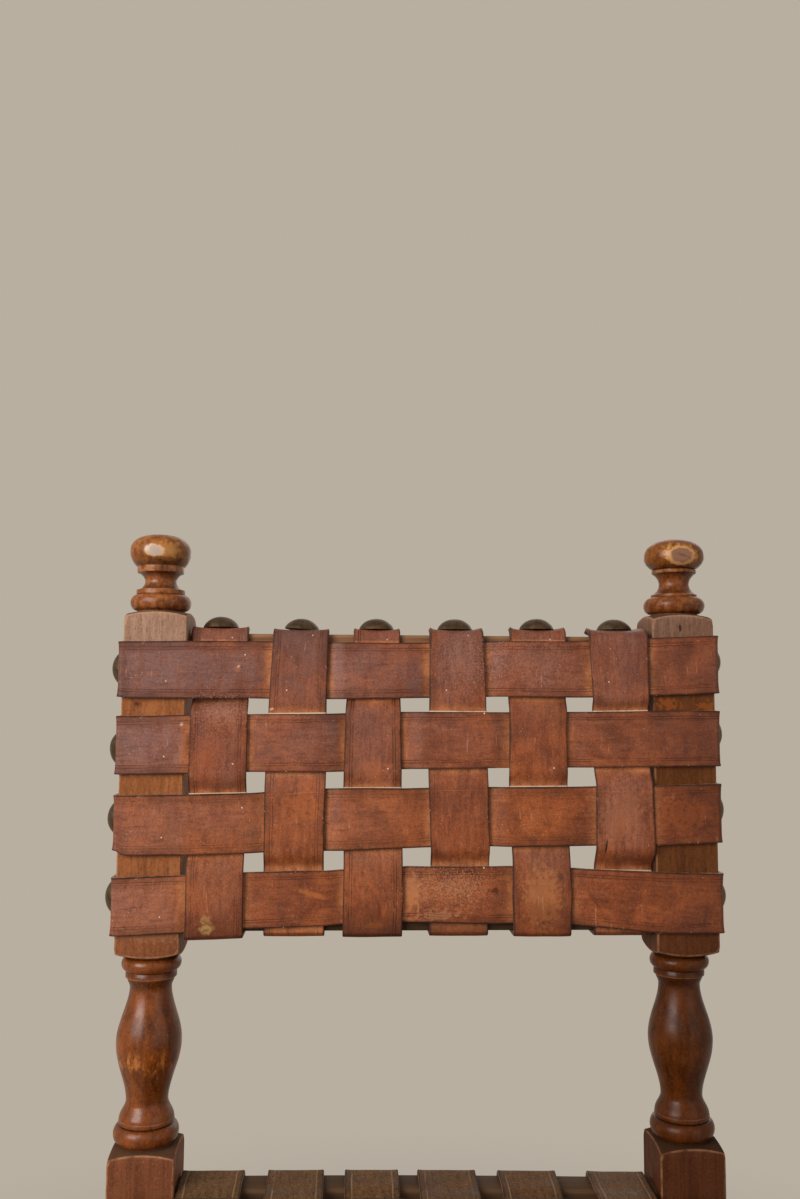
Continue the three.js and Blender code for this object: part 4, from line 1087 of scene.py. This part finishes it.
# Depth along a strap from its crossings (start, end, depth at start, depth at end, side), where side is
# 1 if it passes in front and -1 if behind. It eases between crossings and swells a little at each.
def depthAt(place, crossings, bulge):
    before = None
    for start, end, first, last, side in crossings:
        if place < start:
            if before is None:
                return first
            return mix(before[1], first, halfWave((place - before[0]) / (start - before[0])))
        if place <= end:
            share = (place - start) / (end - start)
            return mix(first, last, share) + side * bulge * math.sin(math.pi * share)
        before = (end, last)
    return before[1]


# How near a place is to an edge under which the strap dives
def diveAt(place, crossings):
    hidden = [max(start - place, place - end, 0) for start, end, *depths, side in crossings if side < 0]
    return max((hump(away, weave["diveReach"]) for away in hidden), default=0.0)


# Turns the faces of an open strap so that its grain side looks along the given directions
def faceOutward(bm, middles, normals):
    bmesh.ops.recalc_face_normals(bm, faces=bm.faces)
    bm.faces.ensure_lookup_table()
    face = bm.faces[len(bm.faces) // 2]
    nearest = min(range(len(middles)), key=lambda i: (middles[i] - face.calc_center_median()).length)
    if face.normal.dot(normals[nearest]) < 0:
        bmesh.ops.reverse_faces(bm, faces=bm.faces)


def thicken(made):
    for name, kind, settings in (
            ("thickness", "SOLIDIFY", dict(thickness=weave["thickness"], offset=0, material_offset=2,
                                           material_offset_rim=1)),
            ("rims", "BEVEL", dict(width=weave["rimEase"], segments=2, limit_method="ANGLE",
                                   angle_limit=math.radians(50))),
            ("normals", "WEIGHTED_NORMAL", dict(keep_sharp=True))):
        modifier = made.modifiers.new(name, kind)
        for key, value in settings.items():
            setattr(modifier, key, value)


# A strap from its rows of (left edge, right edge, curl of the edges, look). A flat grid is laid onto
# the rows; a solidify and a bevel give it its thickness and its burnished rims.
def strapPiece(name, slot, node, rows, width, seed):
    steps = len(rows) - 1
    bm = bmesh.new()
    bmesh.ops.create_grid(bm, x_segments=steps, y_segments=weave["across"], size=0.5)
    layers = pointLayers(bm, "edge", "dive", "dustAndSheen", "tone", "lines", "crevice")
    strapMap = bm.loops.layers.uv.new("strap")
    middles = [(row[0] + row[1]) / 2 for row in rows]
    lengths = [0.0]
    for first, second in zip(middles, middles[1:]):
        lengths.append(lengths[-1] + (second - first).length)
    normals = []
    for index, row in enumerate(rows):
        tangent = middles[min(index + 1, steps)] - middles[max(index - 1, 0)]
        normals.append(tangent.cross(row[1] - row[0]).normalized())
    spots = {}
    for vert in bm.verts:
        index, share = round((vert.co.x + 0.5) * steps), vert.co.y + 0.5
        length, side = lengths[index], 2 * share - 1
        spots[vert] = (length, (share - 0.5) * width)
        left, right, curl, look = rows[index]
        drift = noise.noise(Vector((length * 22, side * 0.8, seed))) * weave["drift"]
        cockle = noise.noise(Vector((length * 45, share * 3, seed + 9))) * weave["cockle"]
        vert.co = left.lerp(right, share) + (right - left).normalized() * drift * abs(side)
        vert.co += normals[index] * (curl * abs(side) ** (6 if curl > 0 else 3) + cockle)
        vert[layers["edge"]] = (1 - abs(side)) * width / 2 / mm
        vert[layers["crevice"]] = mix(*look["crevice"], share)
        for key in ("dive", "dustAndSheen", "tone", "lines"):
            vert[layers[key]] = look[key]
    for face in bm.faces:
        for loop in face.loops:
            loop[strapMap].uv = spots[loop.vert]
    faceOutward(bm, middles, normals)
    thicken(addPiece(bm, name, slot, [node]))


def placesBetween(start, end, pitch):
    return [mix(start, end, share) for share in shares(max(2, math.ceil(abs(end - start) / pitch)))]


# An upright strap: forward over the top rail, down through the weave, under the bottom rail and up
# its rear face
def columnStrap(column):
    topLayer = rails["topTop"] + layerOut + weave["raised"][column] * mm
    wrapInset = rails["thickness"] / 2 - rails["easing"]
    isLeft = column < weave["columns"] / 2
    edgeCrossings = []
    for end in (0, 1) if isLeft else (1, 0):
        crossings = []
        for row in reversed(range(weave["rows"])):
            centre = rowHeight(row, columnX(column, topRow - row * rowPitch))
            depth = columnDepths(row, column)[end]
            upper = centre + crossingHalf
            if row == 0:
                upper = min(upper, rails["topTop"] - rails["easing"])
            side = -1 if rowInFront(row, column) else 1
            crossings.append((centre - crossingHalf, upper, depth, depth, side))
        edgeCrossings.append(crossings)
    rows = []

    # Height in mm over the upper edge of the nearest row that passes in front, where dust settles
    def creviceAt(x, height):
        over = [row for row in range(1, weave["rows"]) if rowInFront(row, column)]
        return min(((height - rowEnds(row, x)[1]) / mm + weave["dustDrop"][row] for row in over), key=abs)

    def addRow(height, depths, curl, dive=0.0, darker=0.0, leanTo=None, inset=0.0):
        flare = weave["flare"].get(column, 0.0) * hump(height - weave["flareAt"], weave["flareReach"])
        left, right = columnEnds(column, leanTo or height)
        xs = (left + (inset - flare * 0.4), right + (flare - inset))
        ends = [backFrame @ Vector((x, -depth, height)) for x, depth in zip(xs, depths)]
        share = min(max((topLayer - height) / (topLayer - underLayer), 0), 1)
        inFront = depths[0] > 0 and not leanTo
        crevice = tuple(creviceAt(x, height) for x in xs) if inFront else noCrevice
        rows.append((*ends, curl, lookAt(columnLook[column], share, darker, dive, crevice)))

    first, last = edgeCrossings[0][-1][1], edgeCrossings[0][0]
    ear = weave["ears"][column] * mm
    for reach in placesBetween(-weave["endReach"], wrapInset, pitches["end"])[:-1]:
        inset = weave["taper"] * (wrapInset - reach)
        addRow(topLayer, (reach, reach), ear, darker=darkening["end"], inset=inset)
    for step, (cosine, sine) in enumerate(quarterTurn(9)):
        bent = [wrapInset + (crossings[-1][2] - wrapInset) * sine for crossings in edgeCrossings]
        flattened = ear * (1 - (1 - weave["earShare"]) * step / 9)
        addRow(first + (topLayer - first) * cosine, bent, flattened, darker=darkening["top"])
    bendTop = min(last[0] - weave["gap"], underLayer + weave["bendRadius"])
    for height in placesBetween(first, bendTop, pitches["upright"]):
        depths = [depthAt(height, crossings, weave["bulge"]) for crossings in edgeCrossings]
        fade = smooth((first - height) / weave["fadeOver"])
        curl = ear * weave["earShare"] * (1 - fade) + curls["cupped"] * fade
        addRow(height, depths, curl, diveAt(height, edgeCrossings[0]))
    low = [crossings[0][2] for crossings in edgeCrossings]
    for cosine, sine in quarterTurn(6, 1):
        bent = [depth - weave["bendRadius"] * (1 - cosine) for depth in low]
        addRow(bendTop - (bendTop - underLayer) * sine, bent, curls["low"], darker=darkening["low"])
    for share in placesBetween(0, 1, 0.12)[1:]:
        bent = [mix(depth - weave["bendRadius"], -wrapInset, share) for depth in low]
        addRow(underLayer, bent, 0, darker=darkening["under"])
    turn = rails["easing"] + layerOut
    for cosine, sine in quarterTurn(6, 1):
        depth = -wrapInset - turn * sine
        addRow(underLayer + turn * (1 - cosine), (depth, depth), 0, 0, darkening["under"], underLayer)
    top = rails["bottomLow"] + weave["upturn"]
    for height in placesBetween(underLayer + turn, top, pitches["flap"])[1:]:
        addRow(height, (-railLayer, -railLayer), curls["upturned"], 0, darkening["under"], underLayer)
    name = f"upright_strap_{column + 1}"
    strapPiece(name, "back_leather", f"back_{name}", rows, weave["width"], column * 3.7)


# A cross strap: forward on one post's outer face, across its front, through the weave and back on the
# other post
def rowStrap(row):
    corner = postX + backHalf
    sideLayer = corner + layerOut
    crossings = [(-corner, -clearHalf, postLayer, postLayer, 0)]
    for column in range(weave["columns"]):
        centre = columnX(column, rowHeight(row, 0))
        depths = rowDepths(row, column)
        if column >= weave["columns"] / 2:
            depths = depths[::-1]
        side = 1 if rowInFront(row, column) else -1
        crossings.append((centre - crossingHalf, centre + crossingHalf, *depths, side))
    crossings.append((clearHalf, corner, postLayer, postLayer, 0))
    rows = []

    def addRow(x, depth, curl, darker=0.0):
        lower, upper = rowEnds(row, x)
        lower += weave["lifted"].get(row, 0.0) * smooth((-x - weave["liftedFrom"]) / (9 * mm))
        ends = [backFrame @ Vector((x, -depth, height)) for height in (lower, upper)]
        share = min(max((x + corner) / (2 * corner), 0), 1)
        rows.append((*ends, curl, lookAt(rowLook[row], share, darker, diveAt(x, crossings))))

    for reach in placesBetween(-weave["endReach"], backHalf, pitches["flap"])[:-1]:
        addRow(-sideLayer, reach, curls["flap"], darkening["under"])
    for cosine, sine in quarterTurn(6):
        addRow(-corner - layerOut * cosine, backHalf + layerOut * sine, curls["bend"], darkening["left"])
    for x in placesBetween(-corner, corner, pitches["cross"]):
        nearEnd = smooth((abs(x) - clearHalf) / (corner - clearHalf))
        # Painted shade on a cross strap's left end, where it turns around the post
        darker = weave["turnedShade"] * smooth((-x - corner + 11 * mm) / (9 * mm))
        curl = mix(curls["cupped"], curls["upturned"], nearEnd)
        addRow(x, depthAt(x, crossings, weave["bulge"]), curl, darker)
    for cosine, sine in reversed(quarterTurn(6)):
        addRow(corner + layerOut * cosine, backHalf + layerOut * sine, curls["bend"], darkening["right"])
    for reach in placesBetween(backHalf, -weave["endReach"], pitches["flap"])[1:]:
        addRow(sideLayer, reach, curls["flap"], darkening["under"])
    name = f"cross_strap_{row + 1}"
    strapPiece(name, "back_leather", f"back_{name}", rows, weave["width"], 40 + row * 5.3)


for column in range(weave["columns"]):
    columnStrap(column)
for row in range(weave["rows"]):
    rowStrap(row)
print("back woven")

# "longWander" moves the long straps sideways by shares of their width, and "wider" widens them in mm
# "tone" is painted light on the left long straps and painted shade on the right ones; "dusk" is their dust
# and painted sheen
seat = dict(width=42 * mm, straps=6, sideGap=3 * mm, sag=8 * mm, drop=36 * mm, nailDrop=22 * mm,
            longWander=(0.03, 0.035, -0.085, -0.21, -0.23, -0.075), wider=(4.6, 0.2, -1.6, 2.2, 2.6, 1.0),
            dustAndSheen=(1, 0.6, 0.4, 0.1, 0.05, 0.3), tone=(0.15, 0, 0, -0.12, -0.1, 0), lastForward=4 * mm,
            bulge=0.15 * mm, lines=0.8, dive=0.6)
seatOuterX, seatOuterY = [
    clear / 2 - seat["width"] / 2 - seat["sideGap"] for clear in (seatClearX, seatClearY)]
seatPlane = rails["seatTop"] + layerOut


def longX(strap):
    return seatOuterX * (2 * strap / (seat["straps"] - 1) - 1) + seat["longWander"][strap] * seat["width"]


def crossY(strap):
    forward = seat["lastForward"] if strap == seat["straps"] - 1 else 0
    return seatOuterY * (2 * strap / (seat["straps"] - 1) - 1) - forward


def dip(x, y):
    across = math.cos(math.pi / 2 * min(abs(x) / (seatClearX / 2), 1))
    along = math.cos(math.pi / 2 * min(abs(y) / (halfDepth - rails["thickness"] / 2), 1))
    return seat["sag"] * across * along


# A seat strap: up one rail's outer face, over and under the others, and down the opposite rail
def seatStrap(name, railAxis, centre, others, over, isLong, seed, wider=0.0, dustAndSheen=0.3, tone=0.0):
    width, half = seat["width"] + wider * mm, seat["width"] / 2 + 2 * weave["gap"]
    outerFace, innerFace = railAxis + rails["thickness"] / 2, railAxis - rails["thickness"] / 2
    wrap = rails["easing"] + layerOut
    crossings = [(-outerFace, -innerFace, 0, 0, 0)]
    for index, other in enumerate(others):
        side = 1 if over(index) else -1
        crossings.append((other - half, other + half, side * layerStep / 2, side * layerStep / 2, side))
    crossings.append((innerFace, outerFace, 0, 0, 0))
    rows = []

    def addRow(along, height, curl, darker=0.0):
        ends = []
        for offset in (-width / 2, width / 2):
            x, y = (centre - offset, along) if isLong else (along, centre + offset)
            ends.append(Vector((x, midY + y, seatPlane + height - dip(x, y) + seatLift(x, midY + y))))
        dive = diveAt(along, crossings) * seat["dive"]
        look = dict(dustAndSheen=dustAndSheen, tone=tone - darker, lines=seat["lines"], dive=dive, crevice=noCrevice)
        rows.append((*ends, curl, look))

    side = outerFace + layerOut
    flap, bend = (curls["seatFlap"], darkening["seatFlap"]), (curls["seatBend"], darkening["seatBend"])
    for height in placesBetween(-seat["drop"], -wrap, pitches["flap"])[:-1]:
        addRow(-side, height, *flap)
    for cosine, sine in quarterTurn(6):
        addRow(-(side - wrap + wrap * cosine), wrap * sine - wrap, *bend)
    for along in placesBetween(wrap - side, side - wrap, pitches["seat"]):
        addRow(along, depthAt(along, crossings, seat["bulge"]), curls["seat"])
    for cosine, sine in reversed(quarterTurn(6)):
        addRow(side - wrap + wrap * cosine, wrap * sine - wrap, *bend)
    for height in placesBetween(-wrap, -seat["drop"], pitches["flap"])[1:]:
        addRow(side, height, *flap)
    strapPiece(f"seat_{name}", "seat_leather", f"seat_{name}", rows, width, seed)


longCentres = [longX(strap) for strap in range(seat["straps"])]
crossCentres = [crossY(strap) for strap in range(seat["straps"])]
for strap in range(seat["straps"]):
    seatStrap(f"long_strap_{strap + 1}", halfDepth, longCentres[strap], crossCentres,
              lambda other: (other + strap) % 2 == 0, True, 70 + strap * 2.9,
              *(seat[key][strap] for key in ("wider", "dustAndSheen", "tone")))
    seatStrap(f"cross_strap_{strap + 1}", postX, crossCentres[strap], longCentres,
              lambda other: (other + strap) % 2 == 1, False, 90 + strap * 3.1)
print("seat woven")

# "left" and "right" are how much higher each nail on that post is, from the top one down, and "top" is
# how much further right each nail on the top rail is, all in mm
nail = dict(radius=13.9 * mm, height=8.6 * mm, shank=1.6 * mm, shankLength=13 * mm, point=3 * mm, sides=40,
            rim=0.9 * mm, edge=0.35 * mm, left=(0, -4.7, -0.4, -2.6), right=(8.4, 8.7, 6.9, -2.2),
            top=(-1.0, 0, -0.5, 0, 1.2, 2.6), tilted=1, tilt=math.radians(5))


# A domed nail, made standing on Z = 0, whose head then sits at a place and faces outwards
def nailPiece(name, place, outward, nodes, seed, tilt=0.0):
    shank, radius, edge = nail["shank"], nail["radius"], nail["edge"]
    profile = [(shank * 0.2, -nail["shankLength"]), (shank, nail["point"] - nail["shankLength"]),
               (shank, 0.0), (radius - nail["rim"], 0.0), (radius, edge)]
    for step in range(13):
        share = 1 - step / 13
        profile.append((radius * share, edge + nail["height"] * (1 - share ** 2.2) ** 0.72))
    bm = spun(profile, nail["sides"])
    for vert in bm.verts:
        if vert.co.z > 0.5 * mm:
            vert.co.z += noise.noise(vert.co * 90 + Vector((seed, 0, 0))) * 0.22 * mm
    turn = Vector((0, 0, 1)).rotation_difference(Vector(outward)).to_matrix().to_4x4()
    stood = Matrix.Translation(place) @ turn @ Matrix.Rotation(tilt, 4, "Y")
    bmesh.ops.transform(bm, matrix=stood, verts=bm.verts)
    finishPiece(bm, name, "nail_bronze", nodes, 50)


def backNails():
    up, rearward = [(backFrame.to_3x3() @ Vector(axis)).normalized() for axis in ((0, 0, 1), (0, 1, 0))]
    topHeight, lowHeight = rails["topTop"] + nailSeat, rails["bottomLow"] + rails["backHeight"] / 2
    reach = rails["thickness"] / 2 + nailSeat
    for column in range(weave["columns"]):
        label = column + 1
        x = columnX(column, topHeight) + nail["top"][column] * mm
        place = backFrame @ Vector((x, 0, topHeight + weave["raised"][column] * 1.2 * mm))
        tilt = nail["tilt"] if column == nail["tilted"] else 0.0
        nailPiece(f"nail_top_{label}", place, up, [f"top_nail_{label}"], label, tilt)
        place = backFrame @ Vector((columnX(column, underLayer), reach, lowHeight))
        nailPiece(f"nail_bottom_{label}", place, rearward, [f"bottom_nail_{label}"], label + 9)
    for row in range(weave["rows"]):
        for name, side in (("left", -1), ("right", 1)):
            height = topRow - row * rowPitch + nail[name][row] * mm
            place = backFrame @ Vector((side * (postX + backHalf + nailSeat), 0, height))
            node = f"side_nail_{name}_{row + 1}"
            nailPiece(f"nail_{name}_{row + 1}", place, (side, 0, 0), [node], row + 20 + side)


# The seat nails are only in the scene, so they stand for no solid
def seatNails():
    reach = rails["thickness"] / 2 + nailSeat
    for strap in range(seat["straps"]):
        x, y = longCentres[strap], midY + crossCentres[strap]
        for name, place, outward, seed in (
                ("front", (x, frontY - reach), (0, -1, 0), 31), ("rear", (x, rearY + reach), (0, 1, 0), 31),
                ("left", (-postX - reach, y), (-1, 0, 0), 51), ("right", (postX + reach, y), (1, 0, 0), 51)):
            height = seatPlane - seat["nailDrop"] + seatLift(*place)
            nailPiece(f"seat_nail_{name}_{strap + 1}", (*place, height), outward, [], strap + seed)


backNails()
seatNails()
print("nails driven")

stretcher = dict(tenon=9 * mm, tenonLength=20 * mm, end=11 * mm, neck=8.5 * mm, belly=14.5 * mm, sides=48,
                 side=122 * mm, cross=160 * mm, shoulder=0.9, cove=0.81, ringOuter=0.79, ringInner=0.76,
                 swell=0.2)


def stretcherPiece(name, clear, place):
    half = clear / 2 - weave["gap"]
    tenon, end, neck, belly = [stretcher[key] for key in ("tenon", "end", "neck", "belly")]
    shoulderAt, coveAt, outer, inner, swellAt = [
        half * stretcher[key] for key in ("shoulder", "cove", "ringOuter", "ringInner", "swell")]
    points = [(tenon, half + stretcher["tenonLength"]), (tenon, half), (end, half), (end, shoulderAt)]
    points += swell(end, neck, shoulderAt, coveAt, 8) + bead(neck, end, outer, inner, 8)
    points += swell(neck, belly, inner, swellAt, 16)
    profile = points + [(radius, -height) for radius, height in reversed(points)]
    bm = spun(profile[::-1], stretcher["sides"])
    layers = pointLayers(bm, "turned", "wear", "shade")
    grain = bm.verts.layers.float_vector.new("grain")
    for vert in bm.verts:
        vert[grain] = vert.co + Vector((0.3, 0.2, 0)) + Vector(place.translation)
        vert[layers["turned"]] = 1.0
        vert[layers["wear"]] = hump(abs(vert.co.z) - (outer / 2 + inner / 2), 2 * mm) * 0.8
    bmesh.ops.transform(bm, matrix=place, verts=bm.verts)
    finishPiece(bm, f"spindle_{name}", "post_wood", [f"stretcher_{name}"], 45)


for name, y in (("front", frontY), ("rear", rearY)):
    stretcherPiece(name, seatClearX, Matrix.Translation((0, y, stretcher["cross"])) @ alongX)
for name, x in (("left", -postX), ("right", postX)):
    stretcherPiece(name, seatClearY, Matrix.Translation((x, midY, stretcher["side"])) @ alongY)
print("stretchers turned")

studio = dict(
    backdrop=(184, 175, 161), floor=(176, 168, 156), ambient=0.4, ambientColour=(0.97, 0.97, 1.0),
    key=dict(place=(-1.2, -1.05, 1.45), target=(0, 0.15, 0.68), size=1.1, power=32,
             colour=(1.0, 0.98, 0.95)),
    fill=dict(place=(1.6, -1.5, 1.2), target=(0, 0.1, 0.6), size=1.6, power=5, colour=(0.97, 0.98, 1.0)),
    rear=dict(place=(0.9, 2.6, 1.5), target=(0, 0.1, 0.5), size=2.4, power=12, colour=(1.0, 0.98, 0.95)),
    floorRadius=60, floorSides=96, fade=(0.5, 1.3),
)


def addLamp(name, values):
    data = bpy.data.lights.new(name, "AREA")
    data.size = values["size"]
    data.energy = values["power"]
    data.color = values["colour"]
    aimed(name, data, values["place"], Vector(values["target"]) - Vector(values["place"]))


# Camera, glossy and transmission rays see the plain backdrop colour; other rays see the soft light
def seenDirectly():
    rays = addNode("LightPath").outputs
    return plus(plus(rays["Is Camera Ray"], rays["Is Glossy Ray"]), rays["Is Transmission Ray"], clamp=True)


# Ends the tree in one of two shaders: the second as far as the share, and else the first
def showEither(output, share, first, second):
    either = addNode("MixShader", {0: share, 1: first.outputs[0], 2: second.outputs[0]})
    plug(bench["tree"].nodes[output].inputs["Surface"], either.outputs[0])


def lightStudio(values):
    world = bpy.data.worlds.new("studio")
    bpy.context.scene.world = world
    world.use_nodes = True
    bench["tree"] = world.node_tree
    soft = world.node_tree.nodes["Background"]
    soft.inputs["Color"].default_value = (*values["ambientColour"], 1)
    soft.inputs["Strength"].default_value = values["ambient"]
    showEither("World Output", seenDirectly(), soft, addNode("Background", dict(Color=values["backdrop"])))
    for name in ("key", "fill", "rear"):
        addLamp(name, values[name])


# The floor is real around the chair and fades into the plain backdrop further out
def layFloor(values):
    bm = bmesh.new()
    bmesh.ops.create_circle(bm, cap_ends=True, segments=values["floorSides"], radius=values["floorRadius"])
    mesh = bpy.data.meshes.new("floor")
    bm.to_mesh(mesh)
    bm.free()
    made = addObject("floor", mesh)
    material, shader = newMaterial("floor")
    for key, value in (("Base Color", values["floor"]), ("Roughness", 0.9), ("Specular IOR Level", 0.1)):
        plug(shader.inputs[key], value)
    share = times(remap(lengthOf(objectPlace()), *values["fade"]), seenDirectly())
    showEither("Material Output", share, shader, addNode("Emission", dict(Color=values["backdrop"])))
    mesh.materials.append(material)


lightStudio(studio)
layFloor(studio)
bpy.context.scene.view_settings.view_transform = "Standard"
print("studio lit")
